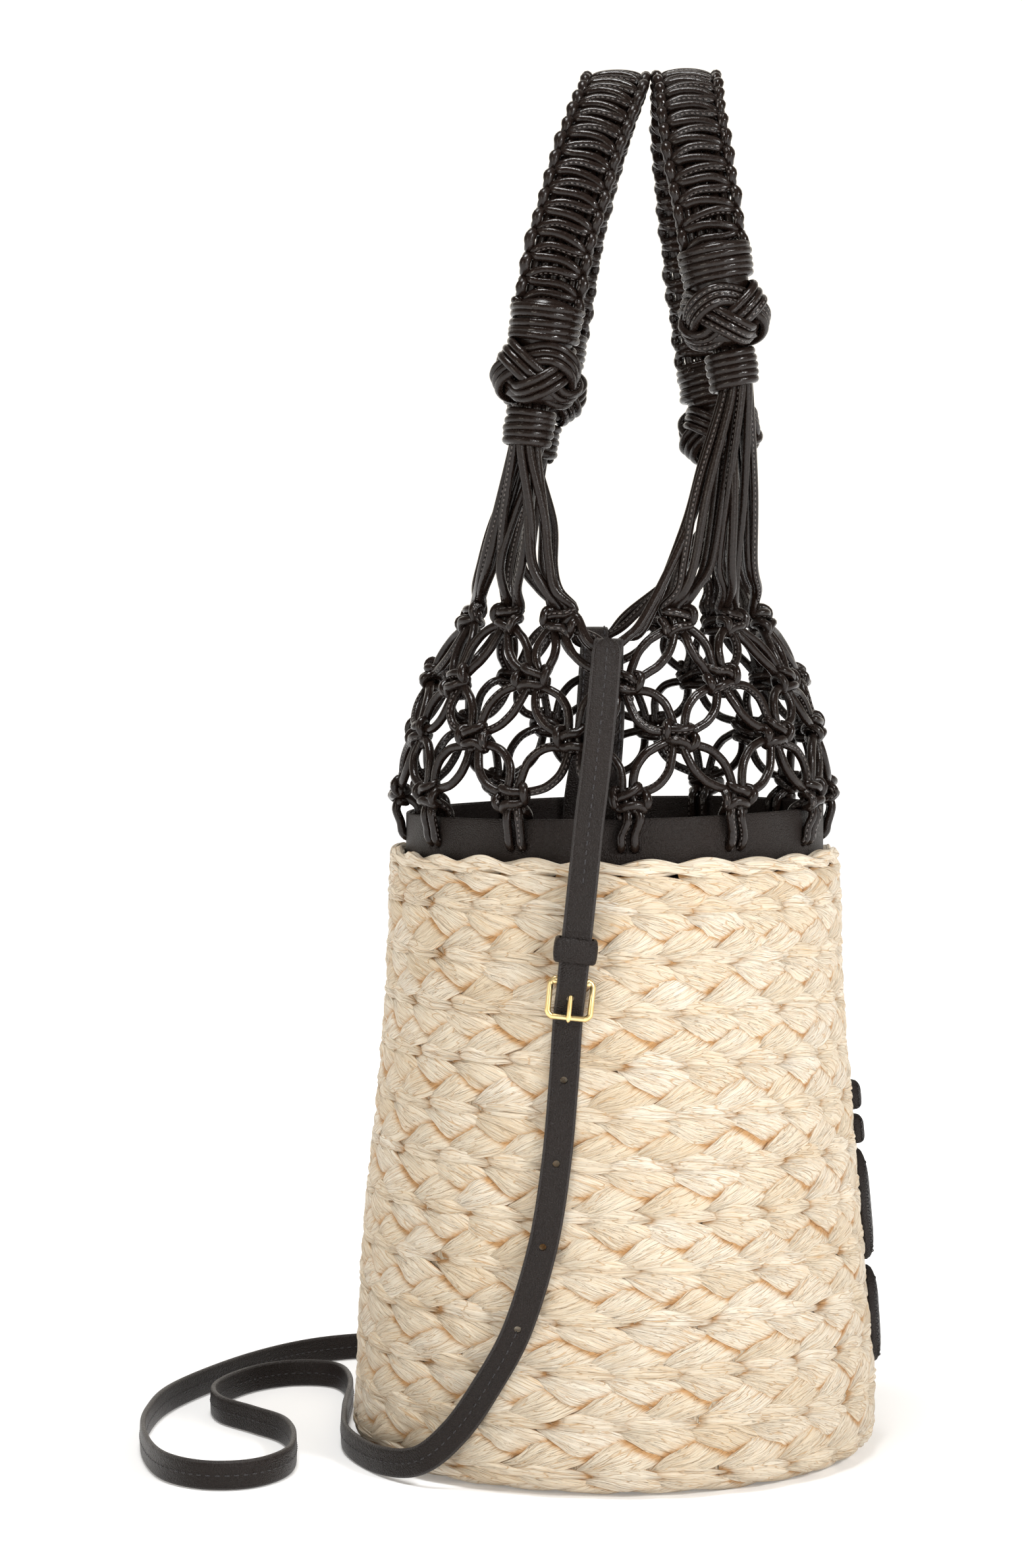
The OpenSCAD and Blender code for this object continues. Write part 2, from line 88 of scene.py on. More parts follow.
def polar(r, angle, z):
    return np.stack(np.broadcast_arrays(r * np.cos(angle), r * np.sin(angle), z), -1)


def spline(points, step=1.0, closed=False):
    """Smooth curve through the points, as points about step apart."""
    p = np.asarray(points, float)
    n = len(p)
    if closed:
        near = [np.roll(p, -shift, 0) for shift in (-1, 0, 1, 2)]
    else:
        ends = np.vstack([p[:1], p, p[-1:], p[-1:]])
        near = [ends[i:i + n - 1] for i in range(4)]
    a, b, c, d = (each[:, None] for each in near)
    t = (np.arange(14) / 14)[None, :, None]
    fine = 0.5 * (2 * b + (c - a) * t + (2 * a - 5 * b + 4 * c - d) * t**2 + (3 * b - a - 3 * c + d) * t**3)
    fine = np.vstack([fine.reshape(-1, p.shape[1]), p[:1] if closed else p[-1:]])
    way = lengths(fine[:, :3])
    out = sample(np.linspace(0, way[-1], max(4, int(round(way[-1] / step))) + 1), way, fine)
    return out[:-1] if closed else out


def tangents(path, closed=False):
    if closed:
        return unit(np.roll(path, -1, 0) - np.roll(path, 1, 0))
    return unit(np.gradient(path, axis=0))


def transport(path, closed=False):
    """Two directions square to the path at each point, carried along it without twist."""
    t = tangents(path, closed)
    side = np.empty_like(t)
    side[0] = unit(np.cross(t[0], [0.31, 0.2, 0.93]))
    for i in range(1, len(t)):
        s = side[i - 1] - t[i] * side[i - 1].dot(t[i])
        side[i] = s / max(np.linalg.norm(s), 1e-9)
    return side, np.cross(t, side)


# ---- Meshes ----


class Skin:
    """Collects grids of quads with UVs and a tone per strand, and makes one object of them. Millimetres."""

    def __init__(self):
        self.points, self.faces, self.sizes, self.uvs, self.tones, self.tuck_shades = [], [], [], [], [], []
        self.count = 0

    def grid(self, points, across, along, tone=0.5, ring=False, caps=False, tuck_shade=0.0):
        """points[i, j]; across has a value per j (and one more if ring), along one per i. The last argument is the
        painted shade of each point, more the further it is into a fold."""
        n, m = points.shape[:2]
        base = self.count
        self.points.append(points.reshape(-1, 3))
        self.tones.append(np.full(n * m, tone))
        self.tuck_shades.append(np.broadcast_to(np.asarray(tuck_shade, float), (n, m)).ravel())
        self.count += n * m
        index = base + np.arange(n * m).reshape(n, m)
        if ring:
            index = np.hstack([index, index[:, :1]])
        k = index.shape[1] - 1
        uv = np.stack(np.meshgrid(np.asarray(across, float), np.asarray(along, float)), -1)
        quads, uvs = (
            np.stack([g[:-1, :-1], g[:-1, 1:], g[1:, 1:], g[1:, :-1]], 2).reshape(-1, size)
            for g, size in ((index, 4), (uv, 2))
        )
        self.faces.append(quads.ravel())
        self.sizes.append(np.full(len(quads), 4))
        self.uvs.append(uvs)
        if caps:
            for row, flip in ((0, True), (n - 1, False)):
                loop = index[row, :k][::-1] if flip else index[row, :k]
                self.faces.append(loop)
                self.sizes.append(np.array([k]))
                self.uvs.append(np.full((k, 2), along[row]) * [0, 1])

    def tube(self, path, radius, sides=10, tone=None, closed=False, turn=None):
        """Round cord along a path. turn is where its seam lies, in turns."""
        side, face = transport(path, closed)
        r = np.broadcast_to(np.asarray(radius, float), (len(path),))[:, None, None]
        spin = (rng.random() if turn is None else turn) * 2 * math.pi
        a = (circle(sides) + spin)[None, :, None]
        points = path[:, None] + r * (np.cos(a) * side[:, None] + np.sin(a) * face[:, None])
        along = lengths(path)
        if closed:
            points = np.concatenate([points, points[:1]])
            along = np.append(along, along[-1] + along[1])
        tone = rng.random() if tone is None else tone
        self.grid(points, np.arange(sides + 1) / sides, along, tone, ring=True, caps=not closed)

    def make(self, name, material, body=None, replaces=(), slot=None):
        mesh = bpy.data.meshes.new(name)
        co = np.concatenate(self.points) * MM
        faces = np.concatenate(self.faces)
        sizes = np.concatenate(self.sizes)
        mesh.vertices.add(len(co))
        mesh.vertices.foreach_set("co", co.astype(np.float32).ravel())
        mesh.loops.add(len(faces))
        mesh.loops.foreach_set("vertex_index", faces.astype(np.int32))
        mesh.polygons.add(len(sizes))
        mesh.polygons.foreach_set("loop_start", (np.cumsum(sizes) - sizes).astype(np.int32))
        mesh.polygons.foreach_set("loop_total", sizes.astype(np.int32))
        mesh.polygons.foreach_set("use_smooth", np.full(len(sizes), True))
        mesh.uv_layers.new(name="UVMap").data.foreach_set("uv", np.concatenate(self.uvs).astype(np.float32).ravel())
        for key, values in (("tone", self.tones), ("tuck_shade", self.tuck_shades)):
            layer = mesh.attributes.new(key, "FLOAT", "POINT")
            layer.data.foreach_set("value", np.concatenate(values).astype(np.float32))
        mesh.update(calc_edges=True)
        mesh.validate()
        return place(bpy.data.objects.new(name, mesh), material, body, replaces)


def place(obj, material, body=None, replaces=()):
    if obj.name not in scene.collection.objects:
        scene.collection.objects.link(obj)
    obj.data.materials.clear()
    obj.data.materials.append(material)
    if body:
        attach(obj, body)
    if replaces:
        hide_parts(*replaces)
    return obj


def cut(obj, skin):
    """Takes the solids of a skin away from an object."""
    tool = skin.make(obj.name + "_cut", obj.data.materials[0])
    modifier = obj.modifiers.new("cut", "BOOLEAN")
    modifier.operation = "DIFFERENCE"
    modifier.solver = "EXACT"
    modifier.object = tool
    depsgraph = bpy.context.evaluated_depsgraph_get()
    mesh = bpy.data.meshes.new_from_object(obj.evaluated_get(depsgraph))
    obj.modifiers.clear()
    obj.data = mesh
    bpy.data.objects.remove(tool)


# ---- Materials ----


class Wire:
    """An output of a shader's node, with arithmetic."""

    def __init__(self, shader, socket):
        self.shader, self.socket = shader, socket


for sign, kind in {"abs": "ABSOLUTE", "add": "ADD", "sub": "SUBTRACT", "mul": "MULTIPLY", "pow": "POWER"}.items():
    setattr(Wire, f"__{sign}__", lambda *values, kind=kind: values[0].shader.math(kind, *values))


def rgba(colour):
    return colour if isinstance(colour, Wire) else (*colour, 1)


class Shader:
    """Short ways to add and link the nodes of a new material, or of an owner that is there."""

    def __init__(self, owner):
        self.owner = bpy.data.materials.new(owner) if isinstance(owner, str) else owner
        self.owner.use_nodes = True
        self.tree = self.owner.node_tree
        self.bsdf = self.tree.nodes.get("Principled BSDF")

    def link(self, value, socket):
        if isinstance(value, Wire):
            self.tree.links.new(value.socket, socket)
        else:
            socket.default_value = value

    def node(self, kind, inputs=(), out=0, **settings):
        """One output of a new node. Its inputs go by name or number."""
        made = self.tree.nodes.new("ShaderNode" + kind)
        for key, value in settings.items():
            setattr(made, key, value)
        for key, value in dict(inputs).items():
            self.link(value, made.inputs[key])
        return Wire(self, made.outputs[out])

    def math(self, operation, *values):
        return self.node("Math", enumerate(values), operation=operation)

    def split(self, vector):
        node = self.node("SeparateXYZ", {0: vector}).socket.node
        return [Wire(self, part) for part in node.outputs]

    def uv(self):
        return self.split(self.node("UVMap", uv_map="UVMap"))[:2]

    def value(self, name):
        return self.node("Attribute", out="Fac", attribute_name=name)

    def place(self):
        return self.node("TexCoord", out="Object")

    def noise(self, at, scale, detail=2.0, roughness=0.5):
        return self.node("TexNoise", {"Vector": at, "Scale": scale, "Detail": detail, "Roughness": roughness}, "Fac")

    def ramp(self, value, *stops):
        made = self.node("ValToRGB", {0: value})
        elements = made.socket.node.color_ramp.elements
        while len(elements) < len(stops):
            elements.new(0.5)
        for element, (position, colour) in zip(elements, stops):
            element.position, element.color = position, rgba(colour)
        return made

    def span(self, value, low, high, to_low=0.0, to_high=1.0):
        return self.node("MapRange", enumerate((value, low, high, to_low, to_high)))

    def blend(self, factor, a, b, kind="MIX"):
        return self.node("Mix", {0: factor, 6: rgba(a), 7: rgba(b)}, 2, data_type="RGBA", blend_type=kind)

    def bump(self, *layers):
        """Layers of (height, distance in mm, strength), one over the other."""
        under = {}
        for height, distance, strength in layers:
            inputs = {"Strength": strength, "Distance": distance * MM, "Height": height, **under}
            under = {"Normal": self.node("Bump", inputs)}
        self.link(under["Normal"], self.bsdf.inputs["Normal"])

    def finish(self, colour, roughness, **inputs):
        for name, value in {"Base_Color": rgba(colour), "Roughness": roughness, **inputs}.items():
            self.link(value, self.bsdf.inputs[name.replace("_", " ")])
        return self.owner


def raffia_material(name, shade=1.0):
    """Dry palm leaf: cream, with tan fibres along each strand, tan painted shade in its creases, paler fibres as a
    painted sheen highlight, and warm painted shade where it goes under.
    """
    s = Shader(name)
    u, v = s.uv()
    tone, tuck_shade = s.value("tone"), s.value("tuck_shade")
    shift = tone * 91.0
    across = u + shift

    def run(wide, long, scale, detail=2.0, roughness=0.55):
        at = s.node("CombineXYZ", enumerate((across * wide, v * long, shift)))
        return s.noise(at, scale, detail, roughness)

    def crease(value, width):
        return s.span(abs(value - 0.5), 0.0, width, 1.0, 0.0)

    broad, folds = run(1.1, 0.03, 1.5, 1.0), run(2.3, 0.035, 1.7)
    fibres, fine = run(7.0, 0.022, 2.4, 2.0, 0.6), run(24.0, 0.035, 2.0)
    stains = run(0.7, 0.1, 1.3)
    lines = s.math("MAXIMUM", crease(broad, 0.018) * 0.85, crease(folds, 0.02) * 0.5)
    colour = s.ramp(tone, (0.0, (0.63, 0.52, 0.38)), (0.4, (0.69, 0.6, 0.475)), (1.0, (0.745, 0.68, 0.585)))
    for amount, over in (
        (s.span(stains, 0.45, 0.75, 0.0, 0.45), (0.64, 0.5, 0.34)),
        # fine fibres painted paler: a painted sheen highlight, where the leaf is also glossier
        (s.span(fine, 0.45, 0.7, 0.0, 0.4), (0.82, 0.77, 0.7)),
        (s.span(fibres, 0.31, 0.47, 0.7, 0.0), (0.58, 0.38, 0.2)),
        # tan painted shade in the creases of the folds
        (lines * 0.85, (0.52, 0.31, 0.14)),
        # warm painted shade where the leaf goes under its neighbours, in its grooves and along its edges
        (tuck_shade**1.7 * 0.95, (0.5, 0.27, 0.105)),
    ):
        colour = s.blend(amount, colour, over)
    colour = s.blend(1.0, colour, (shade * 0.965, shade * 0.957, shade * 0.925), "MULTIPLY")
    s.bump((folds * 1.2 - lines * 0.35, 1.15, 0.75), (fibres, 0.5, 0.75), (fine, 0.16, 0.5))
    return s.finish(colour, s.span(fine, 0.3, 0.8, 0.74, 0.54), Specular_IOR_Level=0.3, Sheen_Weight=0.06)


def cord_material():
    """Round leather cord: a stitched seam runs along it, with pinholes between the stitches."""
    s = Shader("cord_leather")
    u, v = s.uv()
    tone, girth, pitch = s.value("tone"), 11.6, 2.2
    off_seam = abs(u - 0.5) * girth
    along = abs(s.math("FRACT", s.math("DIVIDE", v, pitch)) - 0.5) * pitch
    pinhole = s.span(s.math("SQRT", off_seam**2.0 + along**2.0), 0.2, 0.42, 1.0, 0.0)
    stitch = s.span(off_seam, 0.22, 0.42, 1.0, 0.0) * s.span(along, 0.45, 0.62)
    groove = s.span(off_seam, 0.35, 0.85, 1.0, 0.0)
    grain = s.noise(s.place(), 900.0, 3.0, 0.6)
    wrinkle = s.noise(s.node("CombineXYZ", enumerate((u * 3.0, v * 0.22, tone))), 2.5)
    colour = s.blend(s.span(grain, 0.4, 0.75), (0.0078, 0.0042, 0.003), (0.0145, 0.009, 0.007))
    # The stitches are painted light grey: the thread's own grey lightened by a painted highlight.
    colour = s.blend(stitch * 0.8, colour, (0.115, 0.1, 0.094))
    colour = s.blend(pinhole * 0.8, colour, (0.002, 0.002, 0.002))
    s.bump((wrinkle, 0.35, 0.5), (stitch * 1.3 - (groove + pinhole * 0.6), 0.2, 0.9), (grain, 0.1, 0.5))
    rough = s.span(grain, 0.3, 0.8, 0.14, 0.24) + s.span(tone, 0.0, 1.0, 0.0, 0.1)
    return s.finish(colour, rough, Specular_IOR_Level=0.27)


def leather_material(name, rough, grain_size=1.0, base=(0.0078, 0.0048, 0.0038)):
    """Flat satin calf leather with a pebbled grain."""
    s = Shader(name)
    at = s.place()
    wobble = s.node("TexNoise", {"Vector": at, "Scale": 700.0}, "Color")
    shrunk = s.node("VectorMath", {0: wobble, "Scale": 0.0009}, operation="SCALE")
    warped = s.node("VectorMath", {0: at, 1: shrunk}, operation="ADD")
    pebble = s.node("TexVoronoi", {"Vector": warped, "Scale": 1500.0 / grain_size}, "Distance")
    fine, broad = s.noise(at, 2600.0 / grain_size, 3.0, 0.65), s.noise(at, 55.0)
    colour = s.blend(s.span(pebble, 0.1, 0.75), [part * 1.5 for part in base], base)
    pale = [part * gain for part, gain in zip(base, (1.7, 1.65, 1.65))]
    colour = s.blend(s.span(broad, 0.45, 0.75, 0.0, 0.5), colour, pale)
    s.bump((broad, 1.0, 0.25), (pebble * -1.0, 0.42, 0.9), (fine, 0.16, 0.8))
    rough = s.span(pebble, 0.0, 0.8, rough - 0.06, rough + 0.08) + s.span(broad, 0.3, 0.7, -0.03, 0.05)
    return s.finish(colour, rough, Specular_IOR_Level=0.24)


def strap_material():
    """The same leather, painted lighter along its rounded edges as a highlight."""
    s = Shader(leather_material("strap_leather", 0.35))
    # The rounded edges are painted lighter: a painted highlight along them.
    edge = s.span(abs(s.uv()[0] - 0.5), 0.465, 0.485)
    base = s.bsdf.inputs["Base Color"]
    s.link(s.blend(edge, Wire(s, base.links[0].from_socket), (0.03, 0.026, 0.025)), base)
    return s.owner


def thread_material():
    s = Shader("stitching_thread")
    u, v = s.uv()
    twist = s.math("SINE", v * 9.0 + u * 6.283)
    s.bump((twist, 0.1, 0.7))
    colour = s.blend(s.span(twist, -1.0, 1.0), (0.018, 0.017, 0.019), (0.042, 0.039, 0.042))
    return s.finish(colour, 0.45, Specular_IOR_Level=0.4)


def lining_material():
    s = Shader("lining_cotton")
    x, y, z = s.split(s.place())
    weave = s.math("SINE", s.math("ARCTAN2", y, x) * 900.0) * s.math("SINE", z * 9000.0)
    slub = s.noise(s.place(), 300.0, 3.0)
    s.bump((weave, 0.12, 0.5), (slub, 0.2, 0.4))
    colour = s.blend(s.span(weave, -1.0, 1.0), (0.02, 0.018, 0.017), (0.038, 0.034, 0.032))
    return s.finish(colour, s.span(slub, 0.3, 0.7, 0.75, 0.9), Sheen_Weight=0.15)


def board_material():
    s = Shader("stiffening_board")
    pulp = s.noise(s.place(), 420.0, 4.0, 0.6)
    s.bump((pulp, 0.2, 0.5))
    return s.finish(s.blend(s.span(pulp, 0.3, 0.7), (0.24, 0.19, 0.13), (0.36, 0.29, 0.2)), 0.85)


def brass_material():
    s = Shader("polished_brass")
    brushed, worn = s.noise(s.place(), 700.0, 3.0, 0.6), s.noise(s.place(), 120.0)
    s.bump((brushed, 0.03, 0.4))
    colour = s.blend(s.span(worn, 0.35, 0.7), (0.86, 0.62, 0.27), (0.93, 0.74, 0.4))
    return s.finish(colour, s.span(brushed, 0.3, 0.75, 0.28, 0.42), Metallic=1.0)


RAFFIA = raffia_material("raffia_braid")
RAFFIA_SHADE_BACKING = raffia_material("raffia_shadow", 0.72)
CORD = cord_material()
LEATHER = leather_material("calf_leather", 0.44)
COLLAR_LEATHER = leather_material("collar_leather", 0.46, 0.9, (0.0085, 0.0052, 0.004))
STRAP = strap_material()
THREAD = thread_material()
LINING = lining_material()
BOARD = board_material()
BRASS = brass_material()

# ---- Sizes in millimetres, the same as the solid model's ----

BASE_R, RIM_R, WALL_H, CORNER_R, ROW_H, ROWS = 109.5, 94.0, 246.0, 10.0, 20.4, 11
RAFFIA_T = 4.4
CORD_R = 1.85
COLLAR_R, COLLAR_TOP, SLEEVE_BOTTOM, HOLE_Z, HOLE_STEP = 88.0, 269.0, 229.0, 257.5, 2.6
KNOTS = 12
NET = [(277, 90, 90), (302, 86, 85), (324, 82, 77), (348, 76, 64)]
NET_TURN, GATHER_PULL = 2.0, 0.8
FOLD_Z, FOLD_Y = 372.0, 57.0
KNOT_HALF, WRAP_PITCH, WRAP_TURNS = 12.0, 3.6, 5
WRAP_H = WRAP_PITCH * WRAP_TURNS
ENDS = {
    "back_near": (vec(-70, 33, 447), 9.0), "back_far": (vec(70, 29, 447), 11.0),
    "front_near": (vec(-70, -42, 470), -9.0), "front_far": (vec(70, -48, 430), -9.0),
}
ROUTES = {
    "back": [
        (-70, 28, 478.4), (-69, 24.5, 496), (-64, 19, 515), (-53, 12.5, 537), (-36, 5, 557), (-18, 0.5, 569),
        (0, -0.5, 572), (18, 0.5, 569), (36, 5, 557), (53, 11.5, 537), (64, 16.6, 515), (69, 19.8, 496),
        (70, 22.9, 478.8),
    ],
    "front": [
        (-70, -37, 501), (-68.7, -35, 513), (-62, -32.2, 531), (-49, -30, 550), (-32, -29.3, 564), (-14, -29.2, 571),
        (4, -29.2, 572), (22, -29.4, 567), (40, -30.5, 554), (54, -32.8, 534), (64, -36, 509), (69.4, -39.8, 481),
        (70, -43, 461.2),
    ],
}
TAB_NEAR = [
    (-82, 9, 240), (-81.6, 9, 256), (-80.2, 8, 270), (-76.5, 5, 292), (-72.6, 3.8, 312), (-71.2, 4.2, 324),
    (-71.6, 4.3, 333), (-75, 4.3, 338.6), (-80.5, 4.4, 340.4), (-85.4, 4.8, 338.4), (-89.2, 5.6, 331.5),
    (-92.4, 6.6, 323), (-95.8, 8, 309), (-99, 9.6, 294), (-101.2, 11.2, 281), (-101.55, 12.7, 269),
]
TAB_FAR = [
    (80.2, 15, 240), (79.8, 15, 256), (79, 14, 270), (76.6, 10.5, 292), (73, 8, 312), (71.2, 7.2, 326),
    (71.4, 6.6, 337), (75, 6.6, 342.6), (80.5, 6.6, 344), (85.6, 6.8, 341.6), (89.4, 7, 333), (92.4, 7.6, 323),
    (95.8, 8.4, 309), (98.6, 9.4, 294), (99.4, 10, 281), (99.6, 10.4, 262),
]
SF = 6.3  # height of the strap's middle line where it stands on edge on the floor
STRAP_ROUTE = [
    (-86.4, 4.9, 341.0), (-91.2, 5.6, 334.0), (-94.9, 6.6, 322.6), (-98.1, 8, 309), (-101.3, 9.6, 294.4),
    (-103.6, 11.2, 281), (-104, 12.7, 269), (-104, 15.7, 240), (-104, 17.9, 219), (-104.1, 19, 209),
    (-104.1, 19.5, 204.2), (-101.8, 20.1, 199), (-98.7, 20.7, 193.4), (-97.4, 21.3, 186), (-98.3, 22.6, 166),
    (-101.6, 25.6, 133), (-103.4, 31, 100), (-103.2, 41, 67), (-100.4, 53, 44), (-94, 66, 24), (-87, 81, 10.5),
    (-66, 98, SF), (-30, 112, SF), (13, 115, SF), (71, 115, SF), (103, 123, SF), (108, 143, SF), (92, 162, SF), (60, 174, SF),
    (32, 170, SF), (10, 154, SF), (-10, 140, SF), (-38, 134, SF), (-70, 135, SF), (-91, 148, SF), (-93, 168, SF),
    (-74, 186, SF), (-32, 197, SF), (13, 199, SF), (60, 192, SF), (120, 166, SF), (158, 137, SF), (173, 104, SF),
    (169, 70, SF), (152, 40, SF), (133, 22, 11), (118.5, 14, 26), (112.6, 11, 48), (109.6, 10, 76), (105.8, 10, 120),
    (101.4, 10, 165), (99.8, 10, 210), (100.6, 10.2, 240), (102.1, 10.4, 263), (101.9, 10, 281),
]
SEWN_END, LOW_SEWN = STRAP_ROUTE[7], STRAP_ROUTE[17]
HOLES = STRAP_ROUTE[14:18]
HEEL, HEEL_LEAN = vec(-99.5, 19.4, 205), 6
STRAP_W, STRAP_T, TAB_T = 12.0, 2.4, 1.8
# Of each leather piece: height of its middle, width and length.
PATCHES = {
    "patch_dot_upper": (147.5, 11.5, 13), "patch_dot_lower": (133, 11.5, 13),
    "patch_leaf_large": (101, 30, 48), "patch_leaf_small": (54, 26, 42),
}


def flare(z):
    s = 1 - z / WALL_H
    return s * s * (3 - 2 * s)


def wall_r(z):
    return RIM_R + (BASE_R - RIM_R) * flare(z)


def leaned(middle, degrees, local):
    """Points from a part's own place, which leans about X, to the bag's."""
    c, s = math.cos(math.radians(degrees)), math.sin(math.radians(degrees))
    return middle + np.asarray(local, float) @ np.array([[1, 0, 0], [0, c, s], [0, -s, c]])


def at_buckle(local):
    return leaned(HEEL, HEEL_LEAN, local)


def at_end(name, local):
    return leaned(*ENDS[name], local)


def nearest(path, point):
    return int(np.argmin(np.linalg.norm(path - np.asarray(point, float), axis=1)))


def rounded(x_low, x_high, y_low, y_high, corner, step):
    """Outline of a rectangle with rounded corners, with a point every step degrees."""
    centres = [(x_high - corner, y_high - corner), (x_low + corner, y_high - corner)]
    centres += [(x_low + corner, y_low + corner), (x_high - corner, y_low + corner)]
    return np.array([
        (x + corner * math.cos(a), y + corner * math.sin(a))
        for quarter, (x, y) in enumerate(centres) for a in np.radians(np.arange(0, 91, step) + 90 * quarter)
    ])


# ---- Shoulder strap ----


def flat_frame(path, level=1):
    """Width and face directions. The width lies along Y where level is 1 and stands upright where it is 0."""
    t = tangents(path)
    side = unit(level * (vec(0, 1, 0) - t[:, 1:2] * t) + (1 - level) * (vec(0, 0, 1) - t[:, 2:] * t))
    return side, np.cross(side, t)


def strip_section(width, thick):
    """Outline of a flat strap with rounded edges and a slight crown, as (across, through) pairs."""
    a, b = width / 2, thick / 2
    half = [(x * (a - b * 0.75), b + 0.12 * (1 - x * x)) for x in np.linspace(-1, 1, 7)]
    half += [(a - b * 0.2, b * 0.62), (a, 0), (a - b * 0.2, -b * 0.62)]
    return np.array(half + [(-x, -y) for x, y in half])


def strip(skin, path, frames, thick, tips=(False, False)):
    side, face = (each[:, None] for each in frames)
    section = strip_section(STRAP_W, thick)
    way = lengths(path)
    narrow = np.ones(len(path))
    for rounded_tip, from_end in zip(tips, (way, way[-1] - way)):
        if rounded_tip:
            s = np.clip(from_end / (STRAP_W * 0.62), 0, 1)
            narrow = np.minimum(narrow, np.sqrt(np.maximum(1 - (1 - s) ** 2, 0.02)))
    points = path[:, None] + section[None, :, :1] * narrow[:, None, None] * side + section[None, :, 1:] * face
    ring = np.append(section[:, 0], section[0, 0])
    # u marks the rounded edges, which the strap's material paints lighter as a highlight.
    u = np.where(np.abs(ring) > STRAP_W / 2 - thick * 0.55, 0.0, 0.5)
    skin.grid(points, u, way, ring=True, caps=True)


def stitches(skin, path, frames, offset, across=0.0, part=slice(None), long=2.7, gap=1.0, radius=0.36):
    """A row of stitches along part of a path, offset above its face and moved across it."""
    path, side, face = path[part], frames[0][part], frames[1][part]
    way = lengths(path)
    line = path + face * offset + side * across
    dip = np.array([-0.55, 0.05, 0.18, 0.05, -0.55])[:, None] * np.sign(offset)
    at = 1.5
    while at + long < way[-1] - 1:
        s = np.linspace(at, at + long, 5)
        skin.tube(sample(s, way, line) + sample(s, way, face) * dip, radius, 6, 0.5)
        at += long + gap


strap_line = spline(STRAP_ROUTE, 1.6)
strap_frames = flat_frame(strap_line, np.clip((strap_line[:, 2:] - 10) / 50, 0, 1))
skin = Skin()
strip(skin, strap_line, strap_frames, STRAP_T, (True, False))
strap = skin.make("strap_leather_long", STRAP)
cuts = Skin()
for at, reach, radius in [(hole, 7, 1.45) for hole in HOLES] + [(at_buckle([-1.6, 0, -6.2]), 9, 1.5)]:
    cuts.tube(np.array([at - vec(reach, 0, 0), at + vec(reach, 0, 0)]), radius, 20, turn=0)
cut(strap, cuts)
place(strap, STRAP, "bag", ["shoulder_strap"])

skin = Skin()
for part in (slice(2, nearest(strap_line, SEWN_END)), slice(nearest(strap_line, LOW_SEWN), None)):
    for offset in (STRAP_T / 2, -STRAP_T / 2):
        stitches(skin, strap_line, strap_frames, offset, part=part, radius=0.3)
skin.make("strap_stitching", THREAD, "bag", slot="leather")

# ---- Strap tabs, keeper and buckle ----

FOLD_R = 2.15
turn = [(-FOLD_R, 0, z) for z in (40, 30, 20, 12, 4)]
turn += [(-FOLD_R * math.cos(a), 0, -FOLD_R * math.sin(a)) for a in np.radians(range(0, 181, 30))]
turn += [(FOLD_R, 0, z) for z in (4, 12, 21)]
near_line = spline([vec(*p) for p in TAB_NEAR] + [at_buckle(p) for p in turn], 1.2)
skin = Skin()
strip(skin, near_line, flat_frame(near_line), TAB_T)
tab_near = skin.make("tab_near", STRAP)
cuts = Skin()
corners = ((-5, -1.5), (5, -1.5), (5, 1.5), (-5, 1.5))
slot_box = np.array([[at_buckle([x, y, z]) for x, y in corners] for z in (-5, 3.5)])
cuts.grid(slot_box, np.arange(5) / 4, [0, 1], ring=True, caps=True)
cut(tab_near, cuts)
place(tab_near, STRAP, "bag", ["strap_tab_near"])

far_line = spline(TAB_FAR, 1.2)
skin = Skin()
strip(skin, far_line, flat_frame(far_line), TAB_T, (False, True))
skin.make("tab_far", STRAP, "bag", ["strap_tab_far"], "leather")
skin = Skin()
for line, low in ((near_line, TAB_NEAR[3]), (far_line, TAB_FAR[3])):
    part = slice(nearest(line, low), nearest(line, (np.sign(low[0]) * 89.4, 6.3, 333)))
    for across in (-4.3, 4.3):
        stitches(skin, line, flat_frame(line), -TAB_T / 2 - 0.2, across, part)
skin.make("tab_stitching", THREAD, "bag", slot="leather")

KEEPER_UP = 13
skin = Skin()
outline = rounded(-6.45, 3.5, -7.55, 7.55, 1.6, 18)
outward = unit(outline - outline.mean(0))
section = [(-4.9, -0.6), (-4.9, 0.2), (-4.3, 0.85), (-2.4, 1.25), (0, 1.35), (2.4, 1.25), (4.3, 0.85), (4.9, 0.2)]
section += [(4.9, -0.6), (4.2, -0.8), (0, -0.8), (-4.2, -0.8)]
rings = [
    [at_buckle([*(p + n * (out if out > 0 else (0, out))), KEEPER_UP + up]) for up, out in section]
    for p, n in zip(outline, outward)
]
rings = np.array(rings + rings[:1])
skin.grid(rings, np.full(len(section) + 1, 0.5), lengths(rings[:, 0]), ring=True)
skin.make("keeper_loop", STRAP, "strap_keeper", ["strap_keeper"], "leather")

FRAME_HALF, REACH, RISE = 8.5, 14.0, 2.1
tilt = math.atan(RISE / REACH)


def on_frame(y, z):
    """Point of the buckle frame's own plane: y across it, z down from the heel bar."""
    return at_buckle([-z * math.sin(tilt), y, -z * math.cos(tilt)])


skin = Skin()
loop = [on_frame(y, z) for y, z in rounded(-FRAME_HALF, FRAME_HALF, -1.0, REACH, 2.6, 15)]
skin.tube(spline(loop, 0.7, closed=True), 1.18, 16, 0.5, closed=True, turn=0)
skin.tube(np.array([on_frame(y, 0) for y in np.linspace(-FRAME_HALF, FRAME_HALF, 9)]), 1.12, 14, 0.5, turn=0)
skin.make("buckle_frame_brass", BRASS, "buckle_frame", ["buckle_frame"], "brass")

